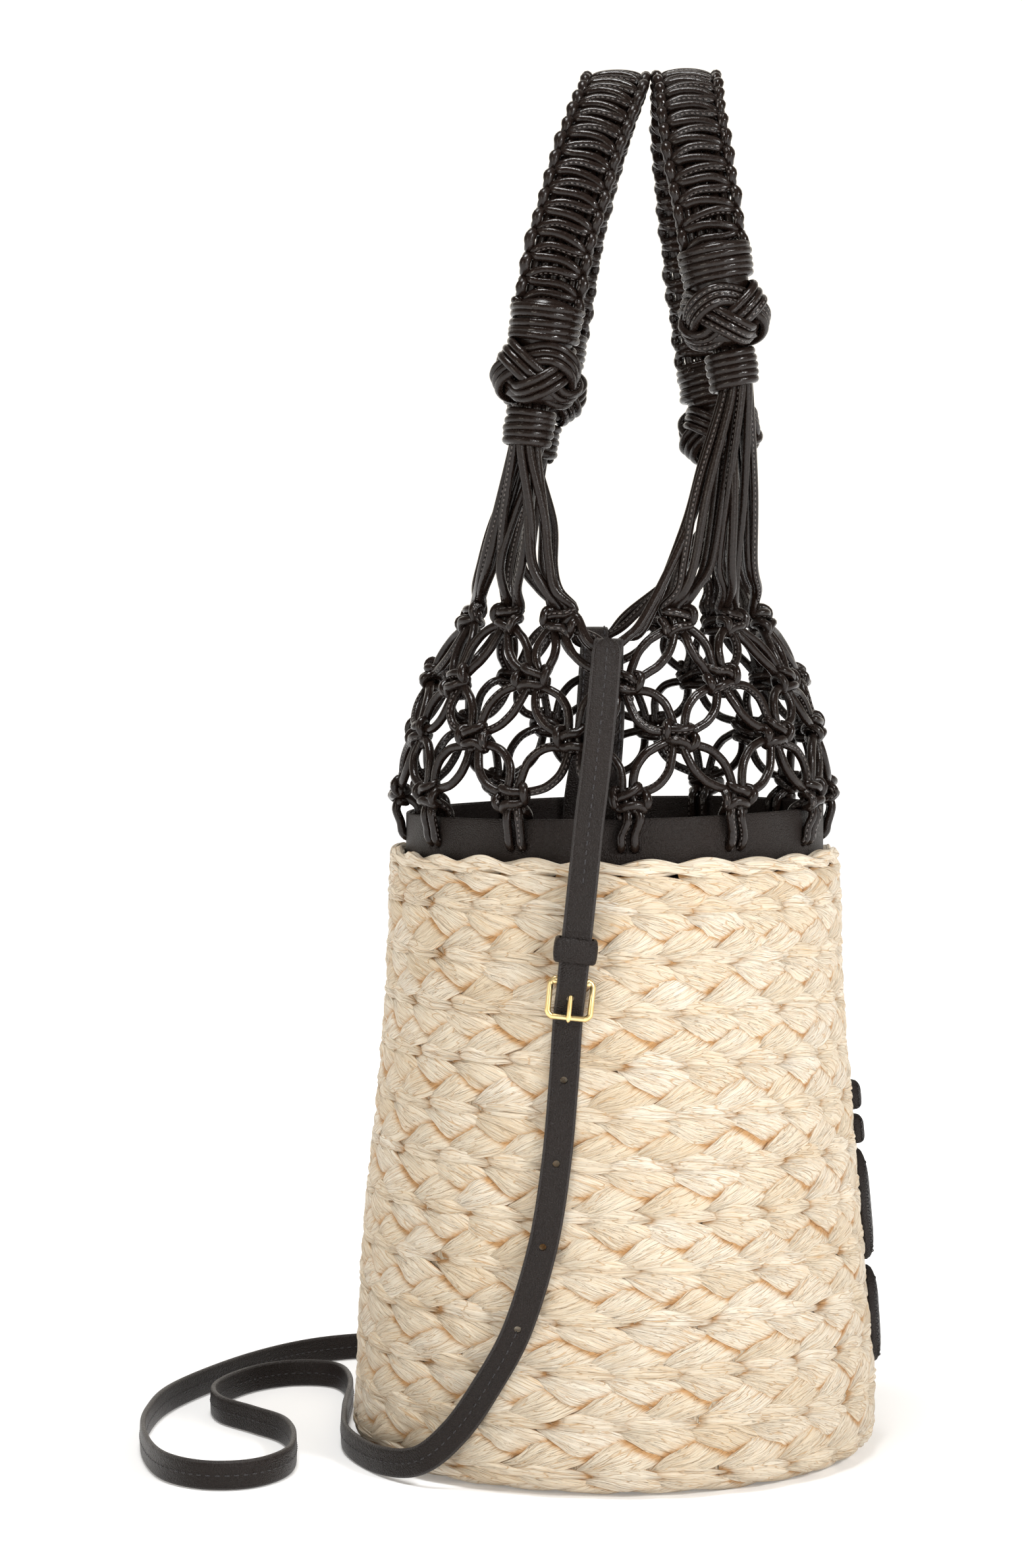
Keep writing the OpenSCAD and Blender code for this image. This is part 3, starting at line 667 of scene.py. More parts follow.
skin = Skin()
prong_end = RISE + 1.15 + 1.0 + 0.35
shaft = [(-1.9, 0.4), (-2.4, -2), (-3.2, -6.5), (-4.2, -11), (-prong_end, -14), (-prong_end + 0.25, -15.6)]
shaft = spline([at_buckle([x, 0, z]) for x, z in shaft], 0.6)
swell = np.interp(lengths(shaft) / lengths(shaft)[-1], [0, 0.5, 0.88, 0.96, 1], [1.0, 0.98, 0.9, 0.72, 0.25])
skin.tube(shaft, swell, 14, 0.5, turn=0)
eye = np.array([at_buckle([1.72 * math.cos(a), 0, 1.72 * math.sin(a)]) for a in circle(28)])
side = np.tile(at_buckle([0, 1, 0]) - HEEL, (len(eye), 1))
out = unit(eye - HEEL)
band = np.array([(-1.1, -0.45), (-1.1, 0.3), (-0.7, 0.5), (0.7, 0.5), (1.1, 0.3), (1.1, -0.45)])
rings = eye[:, None] + band[None, :, :1] * side[:, None] + band[None, :, 1:] * out[:, None]
rings = np.concatenate([rings, rings[:1]])
skin.grid(rings, np.arange(7) / 6, lengths(rings[:, 0]), ring=True)
skin.make("buckle_prong_brass", BRASS, "buckle_prong", ["buckle_prong"], "brass")

# ---- Raffia ----

BASE_EDGE = 15.7  # the profile's length round the base corner


def row_radius(p, height=ROW_H):
    """Radius of a row that starts p millimetres up the profile, on the wall or under the base."""
    if p > -14:
        return wall_r(CORNER_R + max(p, 0))
    return BASE_R - CORNER_R - max(-p - BASE_EDGE - height / 2, 0)


def surface(angle, p, h):
    """Point of the bucket's skin: angle in radians from +X, p millimetres up its profile from the top of the
    base corner, h outwards."""
    angle, p, h = np.broadcast_arrays(np.asarray(angle, float), np.asarray(p, float), np.asarray(h, float))
    phi = np.clip(p / CORNER_R, -math.pi / 2, 0)
    inward = np.maximum(-p - CORNER_R * math.pi / 2, 0)
    r = np.where(p > 0, wall_r(CORNER_R + np.maximum(p, 0)), BASE_R - CORNER_R + CORNER_R * np.cos(phi) - inward)
    z = CORNER_R + np.where(p > 0, p, CORNER_R * np.sin(phi))
    uneven = 0.45 * np.sin(3 * angle + p / 33) + 0.3 * np.sin(7 * angle - p / 19 + 1)
    h = h + 1.7 * np.sin(phi) + uneven * np.clip(p / 20, 0, 1) * np.clip((232 - p) / 15, 0, 1)
    r, z = r + np.cos(phi) * h, z + np.sin(phi) * h
    return polar(r, angle, z)


LEAF_ROWS, LEAF_COLS, LEAF_PITCH = 24, 17, 27.5


def leaf(skin, angle, p, sides, crown, lift, lean, tone):
    """One visible stretch of raffia between two sides, given in (along the row, up the profile) millimetres from
    its tip. It goes under its neighbours where lift says so, sooner or later across its width by lean."""
    t = np.linspace(0, 1, LEAF_ROWS)
    edges = []
    for line in sides:
        path = spline(line)
        edges.append(sample(t, lengths(path) / lengths(path)[-1], path))
    w = np.concatenate([[-1], np.sin(np.linspace(-1, 1, LEAF_COLS) * math.pi / 2), [1]])[None, :]
    mix = (w[..., None] + 1) / 2
    local = edges[0][:, None] * (1 - mix) + edges[1][:, None] * mix
    wide = np.linalg.norm(edges[0] - edges[1], axis=1)
    full = np.clip(wide / wide.max(), 0.15, 1)[:, None]
    t_down = t[:, None]
    level = np.interp(t_down + lean * w, *lift)
    height = level + crown * full * (1 - np.abs(w) ** 4) - crown * 0.45
    for amount in rng.uniform(0.08, 0.22, 3):
        waves, phase, drift = rng.uniform(3, 10), rng.uniform(0, 6.3), rng.uniform(-1.3, 1.3)
        height = height + amount * full * np.cos(waves * w + phase + drift * t_down)
    groove = 0
    for depth in rng.uniform(0.15, 0.55, 2):
        where = rng.uniform(-0.8, 0.8) + rng.uniform(-0.4, 0.4) * t_down
        line = np.exp(-(((w - where) / 0.09) ** 2))
        height, groove = height - depth * full * line, np.maximum(groove, depth * 0.75 * line)
    height[:, [0, -1]] -= 1.3
    points = surface(angle + local[..., 0] / max(row_radius(p), 8), p + local[..., 1], height)
    points[..., 2] = np.maximum(points[..., 2], 0.05)
    # Painted shade for the colour: warm where the leaf dives under its neighbours, in its grooves, and along its two
    # outer edges.
    tuck_shade = np.clip((0.4 - level) / 0.9, 0, 1) + groove
    tuck_shade[:, [0, 1, -2, -1]] = np.maximum(tuck_shade[:, [0, 1, -2, -1]], [1.0, 0.55, 0.55, 1.0])
    long = np.linalg.norm(edges[0][-1] + edges[1][-1] - edges[0][0] - edges[1][0]) / 2
    skin.grid(points, w[0] * wide.max() / 10.0 + 0.5, t * long, tone, tuck_shade=np.clip(tuck_shade, 0, 1))


def jitter(amount):
    return rng.uniform(-amount, amount)


def shaken(sides, scale, amount):
    """A leaf's two sides scaled to the row, with their points moved a little at random."""
    return [
        [(x * scale[0] + jitter(amount), y * scale[1] + jitter(amount * 0.7)) for x, y in side] for side in sides
    ]


DOWN_LEAF = (
    [(-5, 18.4), (6, 19.6), (16, 19.0), (26, 16.0), (36, 11.5)],
    [(-5, 16.6), (3, 11.6), (10, 7.4), (17, 4.2), (25, 1.0)],
)
UP_LEAF = (
    [(9.5, 1.6), (16.5, 6.8), (23, 11.6), (30, 16.2), (37, 19.5)],
    [(10.5, -1.0), (21, -1.2), (31, 0.2), (40, 3.2), (48, 7.0)],
)
EDGE_LEAF = (
    [(-3, 20.6), (7, 24.2), (17, 23.4), (27, 21.0), (33, 18.6)],
    [(-3, 19.6), (7, 17.4), (17, 16.6), (27, 17.4), (33, 17.6)],
)
LIFT = ([0, 0.12, 0.38, 0.58, 0.69, 0.76, 0.9, 1.1], [-0.9, 0.2, 0.9, 0.8, 0.3, -0.5, -1.7, -2.0])
EDGE_LIFT = ([0, 0.15, 0.5, 0.85, 1.0], [-1.3, 0.2, 0.75, 0.1, -1.5])


def braid_row(skin, p, height, count, phase, edge=True):
    """One row of the flat braid. Leaves slant down from its top edge and up from its lower edge, each over the
    end of the last, and long shallow leaves turn over the edge itself."""
    pitch = 2 * math.pi / count
    scale = (pitch * row_radius(p, height) / LEAF_PITCH, height / ROW_H)
    for i in range(count):
        a = (phase + i + jitter(0.085)) * pitch
        tones = np.clip(rng.normal(0.55, 0.24, 3), 0, 1)
        down = shaken(DOWN_LEAF, scale, 1.05)
        leaf(skin, a, p, down, 1.4 + jitter(0.3), LIFT, 0.14, tones[0])
        up = shaken(UP_LEAF, scale, 1.05)
        leaf(skin, a, p, up, 1.3 + jitter(0.3), LIFT, -0.115, tones[1])
        if edge:
            rim = shaken(EDGE_LEAF, scale, 0.9)
            leaf(skin, a + jitter(0.13) * pitch, p, rim, 1.5, EDGE_LIFT, 0.0, tones[2])


# The braid's inner side and the gaps between its leaves, in a darker copy of the raffia: painted shade in the gaps.
profile = [(0.0, 1.6), (60, 1.6), (BASE_R - CORNER_R, 1.6)]
profile += [(BASE_R - CORNER_R + 8.2 * math.sin(a), 10 - 8.4 * math.cos(a)) for a in np.radians([20, 40, 60, 80])]
profile += [(wall_r(h) - 1.3, h) for h in np.linspace(12, WALL_H - 0.5, 30)]
profile += [(COLLAR_R + 0.6, WALL_H - 0.3), (COLLAR_R + 0.4, WALL_H - 3)]
profile += [(min(wall_r(h) - RAFFIA_T, BASE_R), h) for h in np.linspace(222, 14, 20)]
profile += [(BASE_R - CORNER_R, RAFFIA_T), (40, RAFFIA_T), (0.0, RAFFIA_T)]
profile = np.array(profile)
skin = Skin()
points = polar(profile[:, :1], circle(120), profile[:, 1:])
skin.grid(points, np.arange(121) * 1.1, lengths(profile), 0.3, ring=True)
skin.make("raffia_backing", RAFFIA_SHADE_BACKING, "bag", slot="raffia")
PER_ROW = [24, 25, 23, 24, 26, 24, 23, 25, 24, 23, 25, 24]
for first, nodes in ((0, ["raffia_wall_lower"]), (3, []), (6, ["raffia_wall_upper"]), (9, [])):
    skin = Skin()
    for row in range(first, first + 3):
        whole = row < ROWS
        braid_row(skin, row * ROW_H, ROW_H if whole else 14.0, PER_ROW[row], row * 0.37, edge=whole)
    skin.make(f"raffia_rows_{first + 1}_to_{first + 3}", RAFFIA, "bag", nodes, "raffia")

skin = Skin()
braid_row(skin, -BASE_EDGE, BASE_EDGE, 24, 0.6)
for i, count in enumerate((18, 15, 11, 7)):
    braid_row(skin, -BASE_EDGE - ROW_H * (i + 1), ROW_H, count, 0.3 * i)
braid_row(skin, -BASE_EDGE - ROW_H * 4 - 17, 17, 5, 0)
skin.make("raffia_base_rows", RAFFIA, "bag", ["raffia_base"], "raffia")

skin = Skin()
TWISTS, RIM_MIDDLE, RIM_Z = 24, 91.5, 249.2
turns, a = circle(1200), circle(24)
for strand in range(2):
    wind = TWISTS / 2 * turns + strand * math.pi
    wobble = 0.25 * np.sin(7 * turns + strand) + 0.2 * np.sin(17 * turns)
    r = RIM_MIDDLE + 1.35 * np.cos(wind) + wobble * 0.5
    path = np.column_stack([r * np.cos(turns), -r * np.sin(turns), RIM_Z + 1.45 * np.sin(wind) + wobble])
    side, face = (each[:, None] for each in transport(path, True))
    fold = 1 + 0.1 * np.cos(5 * a + 3 * np.sin(3 * turns[:, None])) + 0.05 * np.sin(9 * a)
    thick = 2.35 * fold * (1 - 0.16 * np.cos(2 * wind)[:, None])
    ring = path[:, None] + thick[..., None] * (np.cos(a)[:, None] * side + np.sin(a)[:, None] * face)
    ring = np.concatenate([ring, ring[:1]])
    along = np.append(lengths(path), lengths(path)[-1] + 0.5)
    skin.grid(ring, np.linspace(0, 2.6, 25), along, 0.75 - 0.15 * strand, ring=True)
skin.make("rim_twist", RAFFIA, "bag", ["rim_braid"], "raffia")

# ---- Collar ----


def lacing_place(k):
    """Directions outwards and across at the k-th pair of lacing holes."""
    a = math.radians(NET_TURN + k * 360 / KNOTS)
    return vec(-math.cos(a), -math.sin(a), 0), vec(math.sin(a), -math.cos(a), 0)


def band_of(name, outer, inner, high, node):
    """Leather band round the bag with rounded edges, holed for the lacing. Its top leans up towards the front."""
    skin = Skin()
    angle = circle(240)
    wave = 0.25 * np.sin(3 * angle + 1) + 0.2 * np.sin(7 * angle)
    thick = outer - inner
    section = [(outer, z, 0.0) for z in np.linspace(0, 1, 14)]
    section += [(outer - thick * share, 1.0, extra) for share, extra in ((0.12, 0.45), (0.5, 0.62), (0.88, 0.45))]
    section += [(inner, z, 0.0) for z in np.linspace(1, 0, 14)]
    points = []
    for r, share, extra in section:
        top = high - 1.8 * np.sin(angle)
        z = SLEEVE_BOTTOM + (top - SLEEVE_BOTTOM) * share + extra * 0.8 + wave * 0.5 * share
        r = r + wave * 0.35 * share
        points.append(polar(r, angle, z))
    points = np.array(points + points[:1])
    skin.grid(points, np.linspace(0, 1, 241), np.linspace(0, 1, len(points)), ring=True)
    made = skin.make(name, COLLAR_LEATHER)
    cuts = Skin()
    for k in range(KNOTS):
        out, across = lacing_place(k)
        for step in (-HOLE_STEP, HOLE_STEP):
            mid = across * step + vec(0, 0, HOLE_Z)
            cuts.tube(np.array([out * (inner - 4) + mid, out * (outer + 4) + mid]), 2.1, 16, turn=0)
    cut(made, cuts)
    place(made, COLLAR_LEATHER, "bag", [node])


band_of("collar_outer", COLLAR_R, COLLAR_R - 1.95, COLLAR_TOP, "collar_band")
band_of("collar_inner", COLLAR_R - 2.05, COLLAR_R - 3.2, COLLAR_TOP - 0.5, "collar_facing")

# ---- Net ----


def knot_angle(row, k):
    a = (k + (0 if row % 2 == 0 else 0.5)) * 360 / KNOTS
    corner = (math.floor(a / 90) + 0.5) * 90
    return NET_TURN + a if row < len(NET) - 1 else corner + GATHER_PULL * (a - corner)


def knot_at(row, k):
    a = math.radians(knot_angle(row, k))
    z, rx, ry = NET[row]
    return vec(-rx * math.cos(a), -ry * math.sin(a), z)


def knot_frame(row, k):
    """Right, up and outward directions of a net knot, as seen from outside the bag."""
    here = knot_at(row, k)
    above = knot_at(min(row + 1, 3), k)
    below = knot_at(max(row - 1, 0), k)
    slope = (np.linalg.norm(above[:2]) - np.linalg.norm(below[:2])) / max(above[2] - below[2], 1)
    outward = unit(here * [1, 1, 0] / np.array([NET[row][1] ** 2, NET[row][2] ** 2, 1]) * 5000)
    up = unit(vec(0, 0, 1) + outward * slope)
    outward = unit(outward - up * outward.dot(up))
    return np.cross(up, outward), up, outward


FILLER = np.array([(1.9, 7.2, 0.2), (1.8, 3, 0), (1.75, 0, 0), (1.8, -3, 0), (1.9, -7.2, 0.2)])
FRONT_CORD = [
    (-5.2, 7.0, -0.3), (-4.9, 4.6, 1.8), (-2.4, 3.1, 3.5), (1.6, 2.5, 3.7), (4.6, 2.0, 2.4), (6.4, 0.7, 0.3),
    (6.1, -0.9, 0.0), (4.2, -2.2, 2.2), (1.2, -2.7, 3.6), (-2.2, -3.0, 3.5), (-4.9, -4.4, 1.5), (-5.2, -7.0, -0.3),
]
BACK_CORD = [
    (5.2, 7.2, 0.2), (6.4, 5.0, 2.4), (6.9, 2.2, 3.6), (6.7, -0.6, 2.2), (4.6, -1.6, -1.8), (0.6, 0.2, -3.4),
    (-4.2, 1.6, -2.2), (-6.9, 1.4, 0.8), (-7.1, -1.0, 3.0), (-6.6, -3.4, 2.6), (-4.4, -4.4, -1.4), (0.4, -4.4, -3.4),
    (4.4, -5.2, -1.6), (5.3, -7.2, 0),
]

skin = Skin()
turned = {}
for row in range(4):
    for k in range(KNOTS):
        right, up, outward = knot_frame(row, k)
        twist, size = math.radians(jitter(16)), 0.93 + jitter(0.05)
        mirror = 1 if rng.random() < 0.6 else -1
        x = right * math.cos(twist) + up * math.sin(twist)
        y = up * math.cos(twist) - right * math.sin(twist)
        loose = (0.6, 2.2, 2.2, 1.4)[row]
        here = knot_at(row, k) + right * jitter(loose) + up * jitter(loose * 0.8)
        turned[row, k] = (here, x, y, outward)
        for path in (FILLER * [-1, 1, 1], FILLER, FRONT_CORD, BACK_CORD):
            points = np.array(path) * [mirror, 1, 1] * size + rng.normal(0, 0.22, (len(path), 3))
            points[[0, -1]] *= [0.8, 0.75, 0.8]
            skin.tube(spline(here + points @ np.array([x, y, outward])), CORD_R)
skin.make("net_square_knots", CORD, "bag", [f"net_knots_row_{i}" for i in (1, 2, 3, 4)], "leather_cord")


def link_cords(low, high, side, bow, skin):
    """Two cords from the upper corner of one knot to the lower corner of the next, bowed apart round an opening."""
    (a, ax, ay, an), (b, bx, by, bn) = turned[low], turned[high]
    start, stop = a + ax * side * 3.4 + ay * 3.4, b - bx * side * 3.4 - by * 3.4
    way = unit(stop - start)
    normal = unit(an + bn)
    across = np.cross(normal, way)
    span = np.linalg.norm(stop - start)
    for pair in (-1, 1):
        push = pair * (bow + jitter(1.3))
        lift = 1.0 + pair * 0.4 + jitter(0.7)
        skew = jitter(0.05)
        points = [start - way * 1.5 - normal * 0.5, start + across * pair * 1.7 + way * 0.4]
        for share, wide in ((0.2, 0.72), (0.38, 0.98), (0.62, 0.98), (0.8, 0.72)):
            points.append(start + way * span * (share + skew) + across * push * wide + normal * lift * wide)
        points += [stop + across * pair * 1.7 - way * 0.4, stop + way * 1.5 - normal * 0.5]
        skin.tube(spline(points, 0.9), CORD_R)


skin = Skin()
for row, bow in ((0, 6.6), (1, 6.2), (2, 4.6)):
    for k in range(KNOTS):
        for up_side in (0, 1):
            other = (k - (up_side if row % 2 == 0 else -up_side) + KNOTS) % KNOTS
            here, right = turned[row, k][:2]
            side = 1 if (turned[row + 1, other][0] - here).dot(right) > 0 else -1
            link_cords((row, k), (row + 1, other), side, bow, skin)
skin.make("net_links", CORD, "bag", ["net_legs_row_1", "net_legs_row_2", "net_legs_row_3"], "leather_cord")

skin = Skin()
for k in range(KNOTS):
    out, across = lacing_place(k)
    here, x, y, n = turned[0, k]
    for side in (-1, 1):
        loop = (2.1, 263 + jitter(0.5)), (1.4, 259.2), (-1, 257.2), (-4.4, 258.4), (-5.3, 264), (-4.8, 270.5)
        points = [
            here + x * side * 2.0 - y * 4, here + x * side * 2.6 - y * 8.2 + n * 0.4,
            *(out * (COLLAR_R + push) + across * side * 2.7 + vec(0, 0, z) for push, z in loop),
            here + x * side * 2.2 - n * 1.5 - y * 2,
        ]
        skin.tube(spline(points, 0.9), CORD_R)
skin.make("lacing_cords", CORD, "bag", ["lacing_loops"], "leather_cord")

# ---- Bundles of twelve cords at each corner, from the net's top row into the whippings ----

PACK_R = 5.3
FOOT = -KNOT_HALF - WRAP_H  # foot of a whipping, from the middle of its knot
PACKING = [vec(PACK_R * math.cos(a), PACK_R * math.sin(a)) for a in np.radians(np.arange(0, 360, 40))]
PACKING += [vec(2.1 * math.cos(a), 2.1 * math.sin(a)) for a in np.radians([60, 180, 300])]


def bundle(name, skin):
    sx, sy = np.sign(ENDS[name][0][:2])
    corner = {(-1, -1): 0, (1, -1): 1, (1, 1): 2, (-1, 1): 3}[sx, sy]
    foot = at_end(name, [0, 0, FOOT - 3])
    cords = []
    for i in range(3):
        here, x, y, n = turned[3, corner * 3 + (i if corner % 2 == 0 else 2 - i)]
        fold = vec(sx * (70, 61, 50)[i], sy * (33, 44, 52.5)[i], FOLD_Z)
        for u, v in ((-5.0, 0), (-1.8, 1.2), (1.8, -1.2), (5.0, 0)):
            spread = x * u * 0.85 + n * v * 1.7
            cords.append((here, x, y, u, fold + spread * [1, 1, 0.2]))
    centre = np.mean([cord[4] for cord in cords], axis=0)
    free = list(range(12))
    for here, x, y, u, fold in sorted(cords, key=lambda cord: -np.linalg.norm(cord[4] - centre)):
        want = (fold - centre)[:2]
        aim = unit(want) * PACK_R if np.linalg.norm(want) > 4 else 0
        slot = min(free, key=lambda s: np.linalg.norm(aim - PACKING[s]))
        free.remove(slot)
        px, py = PACKING[slot]
        bow = unit((fold - centre) * [1, 1, 0]) * rng.uniform(-0.5, 4.5) + x * jitter(2.6)
        points = [
            here + x * u * 0.75 + y * 3, here + x * u + y * 6.4, here * 0.45 + fold * 0.55 + bow * 0.8, fold + bow,
            fold * 0.55 + (foot + [px, py, 0]) * 0.45 + bow * 1.2, at_end(name, [px * 1.02, py * 1.02, FOOT - 1]),
            at_end(name, [px, py, FOOT + 8]), at_end(name, [px * 0.9, py * 0.9, -KNOT_HALF]),
        ]
        skin.tube(spline(points, 1.7), CORD_R)


def carriers(side, name, fold_y, corner, skin):
    """The two cords that a strap tab folds over: from the inmost knot at the back up into the front bundle."""
    here = min((turned[3, corner * 3 + i][0] for i in range(3)), key=lambda point: abs(point[1]))
    low = at_end(name, [0, 5.6, FOOT - 1])
    for pair in (-1, 1):
        step = pair * 1.95
        fold = vec(side * (78.4 + step), fold_y, 337.0)
        points = [
            here + [side * 1, -1, -1], here + [side * (3 + step * 0.4), -6, 1 + step],
            fold + [0, 8, 2.5 + step * 0.3], fold, fold + [-side, -7, 4.5], fold + [-side * 3, -15, 12 + step],
        ]
        for share, sag in ((0.45, 3.5), (0.72, 2.0)):
            points.append(points[5] * (1 - share) + low * share - [0, sag * 0.7 + step * 0.4, sag + step * 0.5])
        points += [low + [step * 0.9, 0, 0], at_end(name, [step * 0.9, 4.6, FOOT + 8])]
        skin.tube(spline(points, 1.3), CORD_R)


for handle, y in (("back", FOLD_Y * MM), ("front", -FOLD_Y * MM)):
    skin = Skin()
    bundle(handle + "_near", skin)
    bundle(handle + "_far", skin)
    made = skin.make(handle + "_strands", CORD)
    nodes = [f"{handle}_near_bundle", f"{handle}_far_bundle"] + (["net_gathers"] if handle == "back" else [])
    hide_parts(*nodes)
    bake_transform(made)

for side, name, fold_y, corner, low, high in ((-1, "near", 4.4, 3, 0.388, 0.434), (1, "far", 7.0, 2, 0.35, 0.392)):
    skin = Skin()
    carriers(side, "front_" + name, fold_y, corner, skin)
    made = skin.make(f"tab_carrier_cords_{name}", CORD, slot="leather_cord")
    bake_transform(made)

# ---- End knots, whippings and wrappings ----


def barrel(skin, name, low, high, radius):
    """Dark filling under the cords of a knot or wrapping."""
    z = np.linspace(low, high, 9)
    r = radius * np.sqrt(np.clip(1 - (np.abs(2 * (z - low) / (high - low) - 1)) ** 12, 0.05, 1))
    points = polar(r[:, None], circle(24), z[:, None])
    skin.grid(at_end(name, points), np.full(25, 0.1), z, ring=True, caps=True)


def wound(skin, name, low, radius, seed):
    """Turns of cord wound round the strands, each a little askew."""
    local = np.random.default_rng(seed)
    around = np.linspace(0, WRAP_TURNS * 2 * math.pi, WRAP_TURNS * 44)
    n = around / (2 * math.pi)
    lean = np.interp(n, range(WRAP_TURNS + 1), local.uniform(-0.85, 0.85, WRAP_TURNS + 1))
    swell = np.interp(n, range(WRAP_TURNS + 1), local.uniform(-0.7, 0.45, WRAP_TURNS + 1))
    z = low + CORD_R + (WRAP_H - 2 * CORD_R) * (n / WRAP_TURNS) + lean * np.cos(around - 0.8)
    around = around + local.uniform(0, 6.3)
    path = polar(radius + swell, around, z)
    tucked = [0.72, 0.72, 1]
    path = np.vstack([path[0] * tucked + [0, 0, 1.2], path, path[-1] * tucked - [0, 0, 1.2]])
    skin.tube(at_end(name, path), CORD_R * 0.99, 12, turn=0.02 + 0.1 * local.random())


def turks_head(skin, name, seed):
    """Three-lead, four-bight knot tied with three passes of cord side by side."""
    local = np.random.default_rng(seed)
    phase = local.uniform(0, 6.3)
    hand = 1 if seed % 2 else -1
    t = circle(420)
    swing = 4 * t
    around = hand * 3 * t + phase
    tall = 8.2
    s = tall * np.sin(swing)
    slope = np.where(s > 0, 2.6, 5.6) * s / tall
    r = 15.5 - slope * s / tall / 2 - np.where(s > 0, 1.0, 2.4) * (s / tall) ** 4 * 0.5
    tip = np.arctan(slope / tall * 1.3)
    normal = polar(np.cos(tip), around, np.sin(tip))
    middle = polar(r, around, s)
    across = unit(np.cross(normal, tangents(middle, True)))
    over = -1.75 * np.sin(2 * swing)
    for lane in (-1, 0, 1):
        path = middle + across * lane * 3.45 + normal * over[:, None]
        skin.tube(at_end(name, path), 1.78, 11, closed=True, turn=0.1 * lane)


for name, seed in (("back_near", 3), ("back_far", 8), ("front_near", 4), ("front_far", 9)):
    knot, whipping, wrapping = Skin(), Skin(), Skin()
    turks_head(knot, name, seed)
    barrel(knot, name, -KNOT_HALF - 1, KNOT_HALF + 1, 12.4)
    wound(whipping, name, FOOT - 0.2, 8.7, seed + 20)
    wound(wrapping, name, KNOT_HALF + 0.2, 13.1, seed + 40)
    barrel(wrapping, name, KNOT_HALF - 5, KNOT_HALF + WRAP_H + 1.5, 12.0)
    body = name.split("_")[0] + "_handle"
    knot.make(name + "_tied_knot", CORD, body, [name + "_knot"], "leather_cord")
    whipping.make(name + "_whipping_cord", CORD, body, [name + "_whipping"], "leather_cord")
    wrapping.make(name + "_wrapping_cord", CORD, body, [name + "_wrapping"], "leather_cord")

# ---- Handle bands ----


def handle_band(name):
    near, far = (at_end(f"{name}_{end}", [0, 0, KNOT_HALF + WRAP_H - 6]) for end in ("near", "far"))
    line = np.vstack([near, spline(ROUTES[name], 0.5), far])
    line = spline(line[::8] if (len(line) - 1) % 8 == 0 else np.vstack([line[::8], line[-1:]]), 0.5)
    side, face = flat_frame(line)
    way = lengths(line)
    total = way[-1]
    steps = 2 * round(total / 9.4)
    half_pitch = total / steps

    def on(u, v, w):
        """Point u across the band, v along it and w out of its face."""
        v = np.clip(v, 0, total)
        s, o = unit(sample(v, way, side)), unit(sample(v, way, -face))
        return sample(v, way, line) + np.asarray(u)[..., None] * s + np.asarray(w)[..., None] * o

    edge, r, pitch = 11.3, 1.9, 2 * half_pitch
    front_points, back_points = [], []
    for k in range(steps + 1):
        v = k * half_pitch
        s = 1 if k % 2 == 0 else -1
        bow, wob, push, tip = 1.3 + jitter(0.5), jitter(0.35), jitter(0.35), jitter(0.45)
        front_points += [
            (-s * (edge - 1.6), v - 0.4, 0.6), (-s * (edge - 2.6), v + 0.13 * pitch, 2.6),
            (-s * 4.6, v + 0.21 * pitch + bow * 0.75 - tip, 3.6 + wob), (0, v + 0.25 * pitch + bow, 3.9 + wob),
            (s * 4.6, v + 0.28 * pitch + bow * 0.75 + tip, 3.6 + wob), (s * (edge - 2.6), v + 0.36 * pitch, 2.6),
        ]
        back_points += [
            (s * (edge - 2.2), v - 0.36 * pitch, -3.0), (s * (edge + 0.3), v - 0.38 * pitch, -0.6),
            (s * (edge + 0.5 + push), v - 0.22 * pitch, 2.4), (s * (edge + 1.0 + push), v, 3.0),
            (s * (edge + 0.5 + push), v + 0.22 * pitch, 2.4), (s * (edge + 0.3), v + 0.38 * pitch, -0.6),
            (s * (edge - 2.2), v + 0.34 * pitch, -3.0), (s * 3.6, v + 0.27 * pitch, -3.4),
            (-s * 3.6, v + 0.23 * pitch, -3.4),
        ]
    skin = Skin()
    for points in (front_points, back_points):
        u, v, w = spline(points, 0.9).T
        thick = r + 0.45 * np.clip((np.abs(u) - edge - 0.2) / 0.9, 0, 1) * (w > 0)
        skin.tube(on(u, v, w), thick, turn=0.2)
    body = name + "_handle"
    skin.make(name + "_band_knots", CORD, body, [name + "_handle_band"], "leather_cord")
    skin = Skin()
    v = np.arange(0, total, 1.6)
    for u in (-8.2, -4.1, 0, 4.1, 8.2):
        skin.tube(on(np.full(len(v), u), v, 0.25 * np.sin(v / 3 + u)), 1.95)
    skin.make(name + "_band_core", CORD, body, [name + "_handle_core"], "leather_cord")


handle_band("back")
handle_band("front")

# ---- Leather pieces sewn on the front ----


